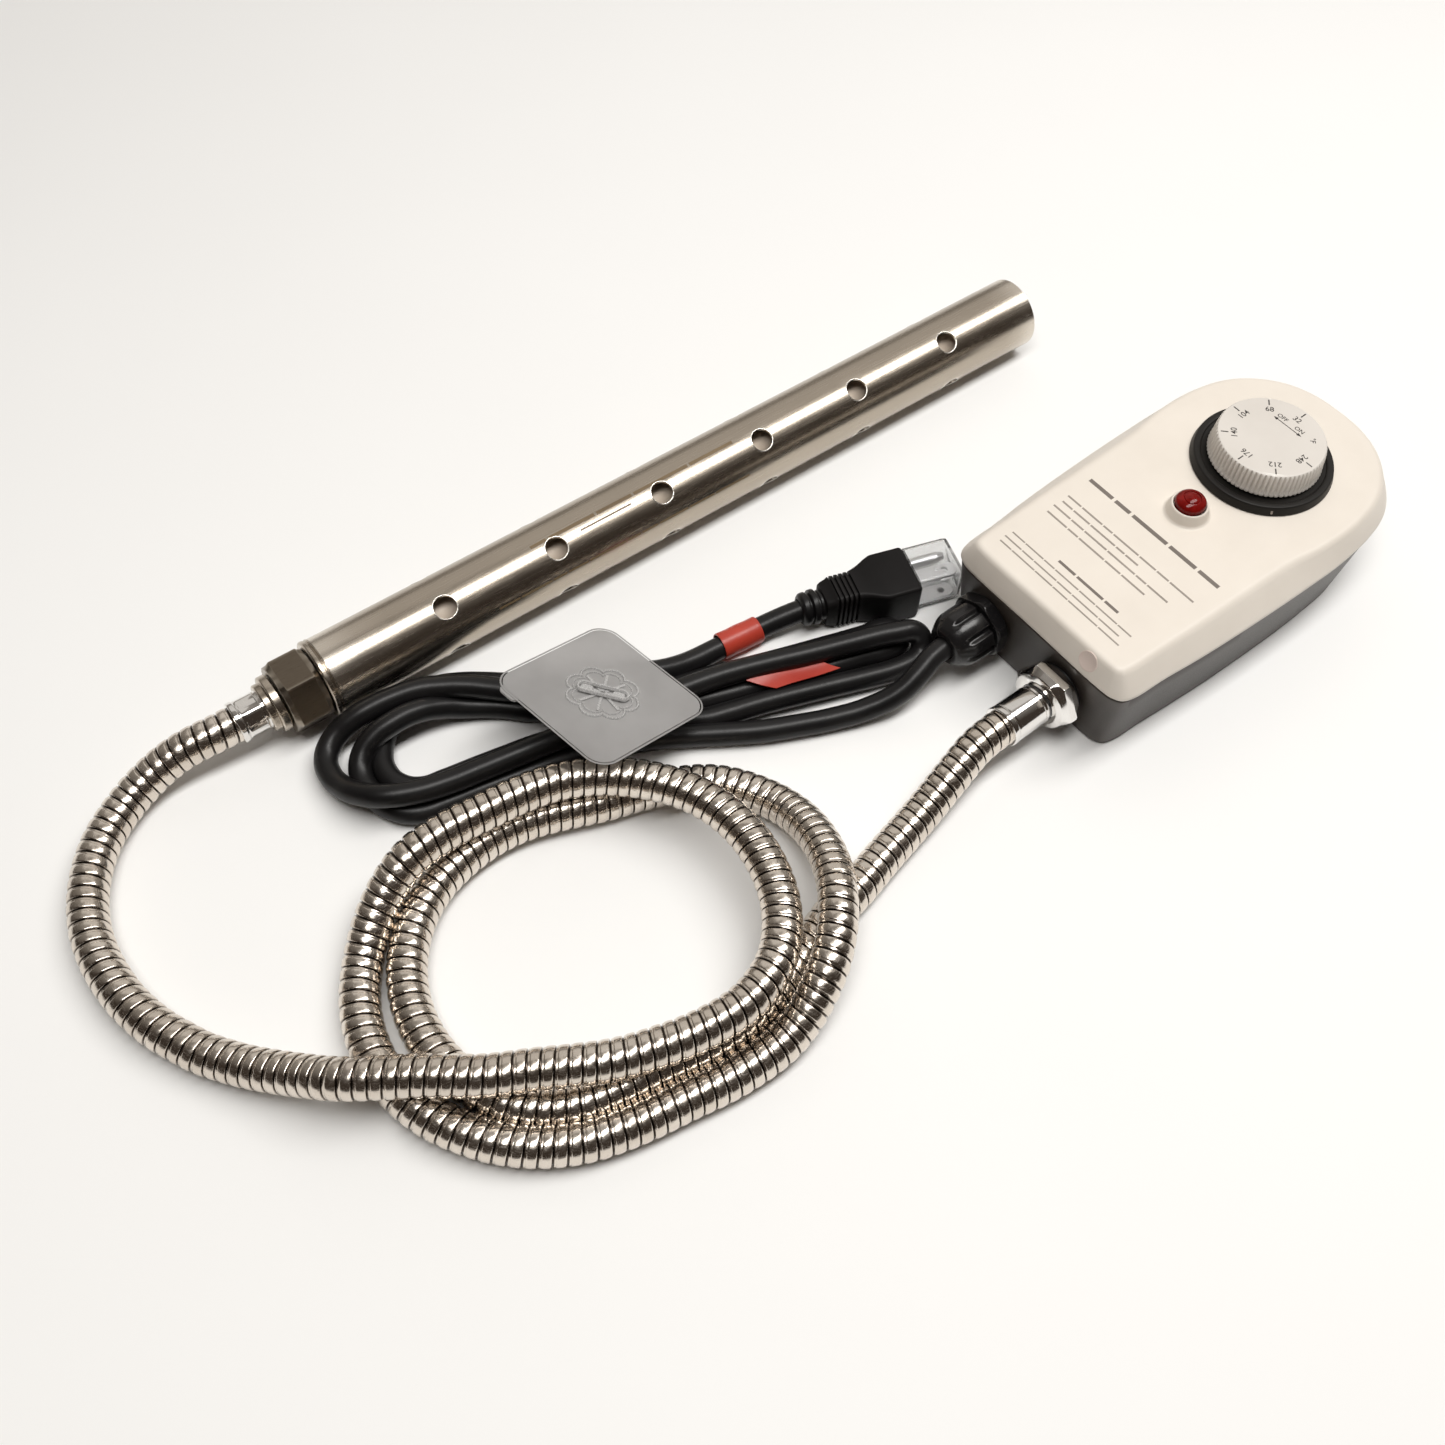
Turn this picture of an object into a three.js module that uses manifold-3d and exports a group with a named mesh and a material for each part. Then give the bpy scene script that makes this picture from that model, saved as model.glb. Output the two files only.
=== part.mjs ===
// Submersible immersion heater: a perforated guard tube with its element, an armoured conduit,
// a thermostat controller with a dial, a mains lead with its plug, and a clear wall-hook pad.
// Millimetres, +Z up, everything lying on the plane z = 0. +X runs along the guard tube.
import * as THREE from "three";
import { mergeVertices } from "three/addons/utils/BufferGeometryUtils.js";
import Module from "manifold-3d";

const wasm = await Module();
wasm.setup();

// ---------------------------------------------------------------- driving dimensions
const GAP = 0.3;

const HEATER = { x: 0, y: 92.3, z: 16.5 };
const TUBE = { left: -186, right: 175, radius: 16, wall: 1.2, sides: 28 };
const HOLES = { radius: 4.9, first: -134.7, pitch: 52.1, count: 6, rowAngle: 29.4 };
const END_COLLAR = { left: -189.6, length: 5.6, radius: 16.3, spigot: 9, groove: 0.5 };
const HEX_FITTING = { left: -206, length: 16, flats: 28 };
const COMPRESSION = { left: -211.2, length: 5, radius: 10.6 };
const HEATER_FERRULE = { left: -225, length: 13.5, radius: 8.5 };
const ELEMENT = { left: -184, right: 158, radius: 8, wall: 0.9 };
const CORE = { left: -170, right: 148, radius: 6.8, bore: 5.2 };
const COIL = { left: -160, turns: 10, pitch: 29, radius: 4.1, wire: 1.1 };
const BULB = { left: -150, length: 90, radius: 2.6, offset: 11.5, angle: -120 };

const CONDUIT_RADIUS = 7.4;
const CORD_RADIUS = 4.7;

const DIAL = { x: 169.9, y: -57.3, turn: 1.76 };
const BASE_TOP = 36.2;
const GASKET = { low: 36.5, high: 37.1 };
const COVER = { low: 37.4, band: 39.4, high: 49.8, wall: 2.5 };
const WALL = 2.6;
const POSTS = { xs: [-108, 22], y: 34, radius: 4.5, bore: 1.8 };
const BEZEL = { bottom: 29.3, top: 28.1, low: 50.1, high: 54 };
const KNOB = {
  low: 54.4, high: 65, flange: 24, flangeHigh: 55.6, bottom: 23.6, top: 22.4, ribs: 40, rib: 0.5,
};
const INDEX_ANGLE = -131.5;
const SHAFT = { radius: 3, low: 34, high: 61 };
const LAMP = { x: -44.5, radius: 6.3, rim: 55.2, dome: 3.2 };
const FITTING_HEIGHT = 18;
const GLAND_Y = 23.5;
const CONNECTOR_Y = -18;
const FRONT = -126.1;

const PLUG = { x: 36.5, y: 0, z: 9.7, turn: -17, length: 36, width: 24, height: 19 };
const BLADE = { length: 17.5, width: 6.35, thick: 1.5, apart: 12.7 };
const GUARD = { length: 20, width: 20.6, height: 17.4, wall: 1.1, shift: 1.55 };

const TAG = { x: -38, y: 19.7, z: 6, turn: -5.5, length: 18 };
const FLAG = { x: -34, y: -9.3, z: 19.2, turn: -14.5, length: 28, width: 7.5 };
const PAD = {
  x: -107.6, y: 14.4, z: 31, tilt: 18, downhill: 17, yaw: 9.8, side: 57, thick: 1, corner: 7, rosette: 1.9,
};

// Half outlines of the controller, front centre to far centre, as [x, y]; the other half mirrors them.
const FOOT_OUTLINE = [
  [-122.6, 0], [-122.6, 33], [-121.9, 38], [-119.8, 41.4], [-115.5, 43], [-100, 43.9], [-84, 45],
  [-65, 46], [-46, 46.5], [-26, 46.7], [-5, 46.2], [14, 44.6], [28, 40.8], [38.5, 34], [46, 24.5],
  [49.8, 12.5], [50.8, 0],
];
const RIM_OUTLINE = [
  [-127, 0], [-127, 36], [-126.2, 41], [-124, 44.6], [-119.5, 46.4], [-103, 47.4], [-85, 49],
  [-66, 50.1], [-46, 50.9], [-26, 51.4], [-5, 51.4], [15, 50], [30, 46.5], [42, 39], [50.5, 28],
  [54.8, 14.5], [56, 0],
];
const TOP_OUTLINE = [
  [-124, 0], [-124, 34], [-123.5, 37.4], [-122, 39.4], [-118.5, 40.3], [-102, 41], [-85, 41.6],
  [-66, 42], [-46, 42.4], [-30, 43.2], [-14, 45.6], [6, 46], [24, 42.8], [36, 36.8], [46, 26],
  [51, 13.5], [52.2, 0],
];

// Routes of the conduit and the mains lead, chosen by hand on the bench plane.
const CONDUIT_LEAD = [
  [-225.4, 92.3, 16.5], [-238, 92.3, 16.2], [-252, 93, 13.6], [-266, 91.5, 9.5], [-280, 86, 7.6],
  [-293.5, 73.4, 7.4], [-303.3, 56.8, 7.4], [-308.1, 37, 7.4], [-307.3, 17.7, 7.4],
  [-302.4, -0.4, 7.4], [-294.5, -16.4, 7.6], [-284.5, -31, 8.8], [-274.5, -44, 12.5],
  [-266, -55.6, 17],
];
const CONDUIT_TAIL = [
  [-63.5, -96.6, 7.5], [-49, -93.2, 7.6], [-31, -87.8, 8.6], [-15, -83.6, 12], [-2, -80.8, 16],
  [11.4, -80.1, 17.8],
];
const COIL_OUTER = [
  [-257, -74], [-254, -42], [-242, -14], [-225, 2.5], [-206, 11.5], [-187, 15.6], [-169, 15.6],
  [-151, 11.5], [-132, 4.5], [-114, -6], [-97, -16], [-82.5, -26], [-71, -41], [-65, -59],
  [-64.4, -79], [-69, -98], [-79, -115], [-94, -128], [-112, -136], [-131, -140], [-150, -141.6],
  [-171, -140], [-191, -136], [-211, -129], [-228, -119], [-242, -107], [-252, -92],
];
const COIL_INNER = [
  [-221, -56], [-217, -42], [-210.5, -30], [-201, -21], [-190, -15], [-178, -12], [-164, -12],
  [-150, -14.5], [-134, -20], [-120, -28], [-108, -40], [-100.5, -56], [-100, -70], [-106, -82],
  [-118, -92], [-133, -97], [-153, -96], [-178, -91], [-203, -83], [-217, -74],
];
const CORD_FROM_GLAND = [
  [21.4, -37.9, 18], [12, -38.8, 17], [0, -42.5, 13.4], [-13, -41.6, 8.4], [-23, -38, 5.2],
  [-30.5, -35, 4.8],
];
const CORD_TO_PLUG = [
  [-57.5, 21.6, 8.4], [-49.5, 20.8, 6], [-38, 19.7, 6], [-26.5, 18.6, 6], [-19, 17.2, 8],
  [-12.4, 15.4, 9.6],
];
const HANK_OUTLINE = [
  [-210.6, 48], [-208, 60], [-200, 69.5], [-188, 75], [-170, 75.6], [-148, 73.5], [-130, 65.5],
  [-115, 54], [-100, 41], [-86, 30.5], [-61, 27], [-60.8, 15], [-37, 2.5], [-4, -7.5], [12, -15],
  [18.3, -24], [14, -30.4], [2, -32.8], [-13, -33.2], [-29, -27.5], [-43, -33.5], [-75, -17.5],
  [-107, 0], [-123, 7], [-140, 12], [-157, 15.2], [-174, 17], [-189, 19.8], [-199, 26], [-207, 38],
];
const COIL_HEIGHT = 29.4;
const HANK_HEIGHT = 18.6;

// ---------------------------------------------------------------- helpers
const radians = THREE.MathUtils.degToRad;

function weld(geometry) {
  const bare = geometry.clone();
  bare.deleteAttribute("normal");
  bare.deleteAttribute("uv");
  return mergeVertices(bare, 1e-4);
}

function solid(geometry) {
  const closed = weld(geometry);
  const mesh = new wasm.Mesh({
    numProp: 3,
    vertProperties: new Float32Array(closed.attributes.position.array),
    triVerts: new Uint32Array(closed.index.array),
  });
  return new wasm.Manifold(mesh);
}

function geometryOf(body) {
  const mesh = body.getMesh();
  const geometry = new THREE.BufferGeometry();
  geometry.setAttribute("position", new THREE.BufferAttribute(new Float32Array(mesh.vertProperties), 3));
  geometry.setIndex(new THREE.BufferAttribute(new Uint32Array(mesh.triVerts), 1));
  return geometry;
}

function cut(base, ...tools) {
  return geometryOf(tools.reduce((body, tool) => body.subtract(solid(tool)), solid(base)));
}

function join(...pieces) {
  return geometryOf(pieces.slice(1).reduce((body, piece) => body.add(solid(piece)), solid(pieces[0])));
}

function common(first, second) {
  return geometryOf(solid(first).intersect(solid(second)));
}

// A round solid along Z from a closed or axis-to-axis [radius, z] profile.
function lathe(profile, sides = 20) {
  const points = profile.map(([r, z]) => new THREE.Vector2(r, z));
  return new THREE.LatheGeometry(points, sides).rotateX(Math.PI / 2);
}

function rod(radius, low, high, sides = 18) {
  return lathe([[0, low], [radius, low], [radius, high], [0, high]], sides);
}

function pipe(inner, outer, low, high, sides = 20) {
  return lathe([[inner, low], [outer, low], [outer, high], [inner, high], [inner, low]], sides);
}

function along(geometry, axis) {
  if (axis === "x") return geometry.rotateY(Math.PI / 2);
  if (axis === "-x") return geometry.rotateY(-Math.PI / 2);
  return geometry;
}

function box(x, y, z, cx = 0, cy = 0, cz = 0) {
  return new THREE.BoxGeometry(x, y, z).translate(cx, cy, cz);
}

function polygon(sides, radius, turn = 0) {
  const points = [];
  for (let i = 0; i < sides; i += 1) {
    const angle = turn + (2 * Math.PI * i) / sides;
    points.push(new THREE.Vector2(radius * Math.cos(angle), radius * Math.sin(angle)));
  }
  return points;
}

function prism(points, low, high) {
  const size = { depth: high - low, bevelEnabled: false };
  return new THREE.ExtrudeGeometry(new THREE.Shape(points), size).translate(0, 0, low);
}

function hexNut(flats, bore, low, high) {
  const hex = prism(polygon(6, flats / Math.sqrt(3)), low, high);
  const half = flats / Math.sqrt(3);
  const edge = flats * 0.09;
  const round = lathe([
    [0, low], [half - edge, low], [half + 0.02, low + edge], [half + 0.02, high - edge],
    [half - edge, high], [0, high],
  ], 24);
  return cut(common(hex, round), rod(bore, low - 1, high + 1, 18));
}

// A tube of round section along a smooth route of [x, y, z] points.
function tube(route, radius, steps, sides = 10) {
  const path = new THREE.CatmullRomCurve3(route.map((p) => new THREE.Vector3(...p)), false, "centripetal");
  const section = new THREE.Shape(polygon(sides, radius));
  return new THREE.ExtrudeGeometry(section, { steps, extrudePath: path, bevelEnabled: false });
}

function mirrored(half) {
  const back = half.slice(1, -1).reverse().map(([x, y]) => [x, -y]);
  return [...half, ...back];
}

function smoothLoop(points, perSpan) {
  const loop = points.map(([x, y]) => new THREE.Vector3(x, y, 0));
  const curve = new THREE.CatmullRomCurve3(loop, true, "centripetal");
  return curve.getPoints(points.length * perSpan).slice(0, -1).map((p) => new THREE.Vector2(p.x, p.y));
}

function inset(half, amount) {
  const centre = (half[0][0] + half[half.length - 1][0]) / 2;
  const length = (half[half.length - 1][0] - half[0][0]) / 2;
  const width = Math.max(...half.map(([, y]) => y));
  return half.map(([x, y]) => [
    centre + (x - centre) * (1 - amount / length),
    y * (1 - amount / width),
  ]);
}

// A closed solid whose walls run straight between matching outlines at rising heights.
function loft(levels, perSpan = 2) {
  const loops = levels.map(([half, z]) => smoothLoop(mirrored(half), perSpan).map((p) => [p.x, p.y, z]));
  const first = new THREE.ExtrudeGeometry(
    new THREE.Shape(loops[0].map(([x, y]) => new THREE.Vector2(x, y))),
    { steps: levels.length - 1, depth: levels.length - 1, bevelEnabled: false },
  );
  const position = first.attributes.position;
  const nearest = new Map(loops[0].map(([x, y], i) => [`${x.toFixed(3)},${y.toFixed(3)}`, i]));
  for (let i = 0; i < position.count; i += 1) {
    const key = `${position.getX(i).toFixed(3)},${position.getY(i).toFixed(3)}`;
    const target = loops[Math.round(position.getZ(i))][nearest.get(key)];
    position.setXYZ(i, ...target);
  }
  return first;
}

function paint(color, roughness, metalness = 0, opacity = 1) {
  return new THREE.MeshStandardMaterial({ color, roughness, metalness, opacity, transparent: opacity < 1 });
}

const PAINTS = {
  titanium: () => paint(0xa79f92, 0.34, 0.9),
  darkSteel: () => paint(0x7c7060, 0.4, 0.9),
  chrome: () => paint(0xd9d6d2, 0.12, 1),
  conduit: () => paint(0xc9c2b8, 0.2, 1),
  magnesia: () => paint(0xe6e2d8, 0.9),
  resistance: () => paint(0x8c8a86, 0.5, 0.8),
  copper: () => paint(0xb87444, 0.35, 0.9),
  cream: () => paint(0xf0eadd, 0.5),
  blackPlastic: () => paint(0x2c2826, 0.55),
  glossBlack: () => paint(0x17161a, 0.3),
  rubber: () => paint(0x1b1a1b, 0.6),
  redLens: () => paint(0x8c1410, 0.15, 0, 0.9),
  redTag: () => paint(0xb3261c, 0.45),
  clear: () => paint(0xdfe2e4, 0.25, 0, 0.4),
  zinc: () => paint(0xb9bcc0, 0.4, 0.9),
  thermostat: () => paint(0xcfcabd, 0.6),
  brass: () => paint(0xc2a14a, 0.35, 0.9),
};

function piece(parent, name, geometry, finish) {
  const mesh = new THREE.Mesh(geometry, PAINTS[finish]());
  mesh.name = name;
  parent.add(mesh);
  return mesh;
}

// ---------------------------------------------------------------- heater
function guardTube() {
  const length = TUBE.right - TUBE.left;
  const shell = pipe(TUBE.radius - TUBE.wall, TUBE.radius, 0, length, TUBE.sides);
  const drills = [];
  for (let i = 0; i < HOLES.count; i += 1) {
    for (const quarter of [0, 90]) {
      const drill = rod(HOLES.radius, -2 * TUBE.radius, 2 * TUBE.radius, 10);
      drill.rotateX(radians(HOLES.rowAngle + quarter));
      drills.push(drill.translate(HOLES.first - TUBE.left + i * HOLES.pitch, 0, 0));
    }
  }
  return cut(along(shell, "x"), ...drills).translate(TUBE.left, 0, 0);
}

function endCollar() {
  const { left, length, radius, spigot, groove } = END_COLLAR;
  const lip = radius - groove;
  const inside = TUBE.radius - TUBE.wall - GAP;
  const face = TUBE.left - GAP;
  const bore = ELEMENT.radius + GAP;
  const end = TUBE.left + spigot - 4;
  const profile = [
    [bore, left], [lip, left], [radius, left + 0.6], [radius, left + 1.9], [lip, left + 2.2],
    [lip, left + 2.6], [radius, left + 2.9], [radius, Math.min(left + length, face)], [inside, face],
    [inside, end], [bore, end], [bore, left],
  ];
  return along(lathe(profile, 24), "x");
}

function hexFitting() {
  const { left, length, flats } = HEX_FITTING;
  return along(hexNut(flats, 5.6, left, left + length).rotateZ(radians(30)), "x");
}

function compressionCollar() {
  const { left, length, radius } = COMPRESSION;
  const profile = [
    [3, left], [radius - 0.8, left], [radius, left + 0.8], [radius, left + length - 0.6],
    [radius - 0.6, left + length - GAP], [3, left + length - GAP], [3, left],
  ];
  return along(lathe(profile), "x");
}

function ferrule(left, length, radius) {
  const right = left + length;
  const profile = [
    [3, left], [radius, left], [radius, left + 2.4], [radius - 0.5, left + 3], [radius - 0.5, right - 2],
    [radius - 1.2, right - 1.4], [radius - 1.2, right], [3, right], [3, left],
  ];
  return along(lathe(profile), "x");
}

function elementSheath() {
  const { left, right, radius, wall } = ELEMENT;
  const tip = right - radius;
  const profile = [[radius - wall, left], [radius, left], [radius, tip]];
  for (const angle of [30, 60]) {
    profile.push([radius * Math.cos(radians(angle)), tip + radius * Math.sin(radians(angle))]);
  }
  profile.push([0, right], [0, tip + 2], [radius - wall, tip], [radius - wall, left]);
  return along(lathe(profile), "x");
}

function heatingCoil() {
  const { left, turns, pitch, radius, wire } = COIL;
  const route = [];
  for (let i = 0; i <= turns * 6; i += 1) {
    const angle = (i / 6) * 2 * Math.PI;
    route.push([left + (i / 6) * pitch, radius * Math.cos(angle), radius * Math.sin(angle)]);
  }
  return tube(route, wire / 2, turns * 6, 4);
}

function sensingBulb() {
  const { left, length, radius, offset, angle } = BULB;
  const right = left + length;
  const profile = [
    [0, left - 16], [0.9, left - 16], [0.9, left - 1.5], [radius, left], [radius, right - 2],
    [radius - 1, right], [0, right],
  ];
  const turn = radians(angle);
  return along(lathe(profile, 14), "x").translate(0, offset * Math.cos(turn), offset * Math.sin(turn));
}

function makeHeater() {
  const heater = new THREE.Group();
  heater.position.set(HEATER.x, HEATER.y, HEATER.z);
  piece(heater, "guard_tube", guardTube(), "titanium");
  piece(heater, "end_collar", endCollar(), "titanium");
  piece(heater, "hex_fitting", hexFitting(), "darkSteel");
  piece(heater, "compression_collar", compressionCollar(), "darkSteel");
  const { left, length, radius } = HEATER_FERRULE;
  piece(heater, "heater_ferrule", ferrule(left, length, radius), "chrome");
  piece(heater, "element_sheath", elementSheath(), "titanium");
  piece(heater, "magnesia_core", along(pipe(CORE.bore, CORE.radius, CORE.left, CORE.right), "x"), "magnesia");
  piece(heater, "heating_coil", heatingCoil(), "resistance");
  piece(heater, "sensing_bulb", sensingBulb(), "copper");
  return heater;
}

// ---------------------------------------------------------------- controller
function fittingHoles() {
  return [GLAND_Y, CONNECTOR_Y].map((y) => (
    along(rod(8.3, FRONT - 4, FRONT + 12), "x").translate(0, y, FITTING_HEIGHT)
  ));
}

function postPlaces() {
  return POSTS.xs.flatMap((x) => [[x, -POSTS.y], [x, POSTS.y]]);
}

function baseHousing() {
  const outer = loft([[FOOT_OUTLINE, 0], [inset(RIM_OUTLINE, 0.8), BASE_TOP]]);
  const inner = loft([[inset(FOOT_OUTLINE, WALL), WALL], [inset(RIM_OUTLINE, 0.8 + WALL), BASE_TOP + 1]], 1);
  const posts = postPlaces().map(([x, y]) => rod(POSTS.radius, 1, BASE_TOP, 14).translate(x, y, 0));
  const bores = postPlaces().map(([x, y]) => lathe([
    [0, -1], [3.3, -1], [3.3, 2.8], [POSTS.bore, 2.8], [POSTS.bore, BASE_TOP + 1], [0, BASE_TOP + 1],
  ], 14).translate(x, y, 0));
  return cut(join(cut(outer, inner), ...posts), ...bores, ...fittingHoles());
}

function gasket() {
  const { low, high } = GASKET;
  const outer = loft([[inset(RIM_OUTLINE, 1), low], [inset(RIM_OUTLINE, 1), high]], 1);
  const inner = loft([[inset(RIM_OUTLINE, 2.8), low - 1], [inset(RIM_OUTLINE, 2.8), high + 1]], 1);
  return cut(outer, inner);
}

function coverShell() {
  const { low, band, high, wall } = COVER;
  const outer = loft([
    [RIM_OUTLINE, low], [RIM_OUTLINE, band],
    [inset(TOP_OUTLINE, -0.6), high - 1.6], [TOP_OUTLINE, high - 0.4],
    [inset(TOP_OUTLINE, 0.7), high],
  ]);
  const inner = loft([
    [inset(RIM_OUTLINE, wall), low - 1], [inset(RIM_OUTLINE, wall), band],
    [inset(TOP_OUTLINE, wall), high - wall],
  ], 1);
  const bosses = postPlaces().map(([x, y]) => rod(4, low, high - 1.5, 14).translate(x, y, 0));
  const lampCollar = lathe([
    [0, high - wall], [8.9, high - wall], [8.9, high],
    [7.4, LAMP.rim - 0.4], [7, LAMP.rim - 0.1], [0, LAMP.rim - 0.1],
  ]).translate(LAMP.x, 0, 0);
  const holes = postPlaces().map(([x, y]) => rod(POSTS.bore, low - 1, high - 4, 12).translate(x, y, 0));
  holes.push(rod(7.6, high - 6, high + 2));
  holes.push(rod(LAMP.radius + GAP, high - 8, LAMP.rim + 1).translate(LAMP.x, 0, 0));
  for (const y of [-15, 15]) holes.push(rod(1.9, high - 6, high + 2, 12).translate(0, y, 0));
  return cut(join(cut(outer, inner), ...bosses, lampCollar), ...holes);
}

function screw(head, shank, low, seat, high) {
  return lathe([
    [0, low], [head - 0.5, low], [head, low + 0.5], [head, seat],
    [shank, seat], [shank, high - 1.2], [0, high],
  ], 12);
}

function bezelRing() {
  const { bottom, top, low, high } = BEZEL;
  const ring = lathe([
    [7.6, low], [bottom, low], [bottom, low + 0.6], [top + 0.3, high - 0.4], [top - 0.2, high],
    [KNOB.flange + 1.6, high], [KNOB.flange + 1, high - 0.7], [7.6, high - 0.7], [7.6, low],
  ], 36);
  const notch = box(2.6, 0.9, 6, bottom, 0, low + 3).rotateZ(radians(INDEX_ANGLE));
  const recesses = [-15, 15].map((y) => lathe([
    [0, low - 1], [1.9, low - 1], [1.9, 51], [3.2, 51], [3.2, high + 1], [0, high + 1],
  ], 12).translate(0, y, 0));
  return cut(ring, notch, ...recesses);
}

function knob() {
  const { low, high, flange, flangeHigh, bottom, top, ribs, rib } = KNOB;
  const outline = [];
  for (let i = 0; i < ribs * 2; i += 1) {
    const radius = i % 2 ? bottom - rib : bottom;
    outline.push(...polygon(1, radius, (Math.PI * i) / ribs));
  }
  const grip = prism(outline, flangeHigh - 0.2, high - 0.8);
  const position = grip.attributes.position;
  for (let i = 0; i < position.count; i += 1) {
    if (position.getZ(i) > flangeHigh) {
      position.setX(i, (position.getX(i) * top) / bottom);
      position.setY(i, (position.getY(i) * top) / bottom);
    }
  }
  const face = lathe([
    [0, high - 1.2], [top - 0.5, high - 1.2], [top - 0.5, high - 0.6], [top - 1.1, high], [0, high],
  ], 36);
  const skirt = lathe([
    [0, low], [flange - 0.3, low], [flange, low + 0.4], [bottom + 0.2, flangeHigh], [0, flangeHigh],
  ], 36);
  return cut(join(grip, face, skirt), rod(SHAFT.radius + GAP, low - 1, SHAFT.high + GAP));
}

function thermostatBody() {
  const block = box(46, 40, 18, 0, 0, 33);
  const plate = box(26, 38, 2, 0, 0, 43);
  const bushing = rod(5.6, 42, 50.5, 18);
  const bore = rod(SHAFT.radius + GAP, SHAFT.low - GAP, 60);
  const threads = [-15, 15].map((y) => rod(1.8, 38, 46, 10).translate(0, y, 0));
  return cut(join(block, plate, bushing), bore, ...threads);
}

function indicatorLens() {
  const { radius, rim, dome } = LAMP;
  const profile = [
    [0, 46.6], [radius - 0.6, 46.6], [radius - 0.6, rim - 1], [radius, rim - 1], [radius, rim + 0.6],
  ];
  for (const angle of [25, 50, 72]) {
    profile.push([radius * Math.cos(radians(angle)), rim + 0.6 + dome * Math.sin(radians(angle))]);
  }
  profile.push([0, rim + 0.6 + dome]);
  return lathe(profile).translate(LAMP.x, 0, 0);
}

function lampBody() {
  const shell = rod(5.2, 30, 46.2, 16);
  const tags = [-2.4, 2.4].map((y) => box(0.8, 3, 8, 0, y, 27));
  return join(shell, ...tags).translate(LAMP.x, 0, 0);
}

function terminalBlock() {
  const body = box(22, 40, 13, -80, 0, WALL + GAP + 6.5);
  const ways = [];
  for (const y of [-13, 0, 13]) {
    ways.push(along(rod(2, -95, -65, 10), "x").translate(0, y, 8));
    ways.push(rod(2.4, 10, 20, 10).translate(-80, y, 0));
  }
  return cut(body, ...ways);
}

function wire(fromY, toY, lift) {
  const x = FRONT + 9;
  return tube([
    [x, GLAND_Y + fromY, FITTING_HEIGHT + lift], [x + 8, GLAND_Y + fromY, FITTING_HEIGHT + lift],
    [x + 17, (GLAND_Y + toY) / 2, 12 + lift], [-92.5, toY, 8], [-87, toY, 8],
  ], 1.2, 9, 8);
}

function capillary() {
  return tube([
    [-112, CONNECTOR_Y, FITTING_HEIGHT], [-96, CONNECTOR_Y - 2, 20], [-60, -24, 24], [-36, -16, 28],
    [-23.9, -10, 31],
  ], 1, 14, 8);
}

function glandBody() {
  const flange = along(prism(polygon(6, 12.2), FRONT - 5.4, FRONT), "x");
  const stub = along(rod(7.9, FRONT - 12, FRONT + 13), "x");
  const bore = along(rod(CORD_RADIUS + 0.6, FRONT - 20, FRONT + 20), "x");
  return cut(join(flange, stub), bore);
}

function glandDomeNut() {
  const low = FRONT - 23;
  const high = FRONT - 5.8;
  const lobes = [];
  const count = 10;
  for (let i = 0; i < count * 4; i += 1) {
    const radius = i % 4 < 2 ? 12.2 : 11.2;
    lobes.push(...polygon(1, radius, (Math.PI * i) / (2 * count)));
  }
  const grip = prism(lobes, low + 7, high);
  const dome = lathe([
    [0, low], [6.8, low], [8.6, low + 1], [10.6, low + 4], [11.4, low + 7.5], [11.4, high - 1], [0, high - 1],
  ]);
  const cavity = lathe([
    [0, low - 1], [CORD_RADIUS + 0.6, low - 1], [CORD_RADIUS + 0.6, low + 2.5],
    [8.3, low + 7], [8.3, high + 1],
    [0, high + 1],
  ]);
  return cut(join(grip, dome), cavity);
}

function glandSeal() {
  const low = FRONT - 15.6;
  return pipe(CORD_RADIUS + 0.4, 7.8, low, low + 3.2);
}

function lockNut() {
  return hexNut(21, 8.2, FRONT + 6, FRONT + 10);
}

function connectorBody() {
  return pipe(5, 7.9, FRONT - 11.4, FRONT + 13);
}

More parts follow.
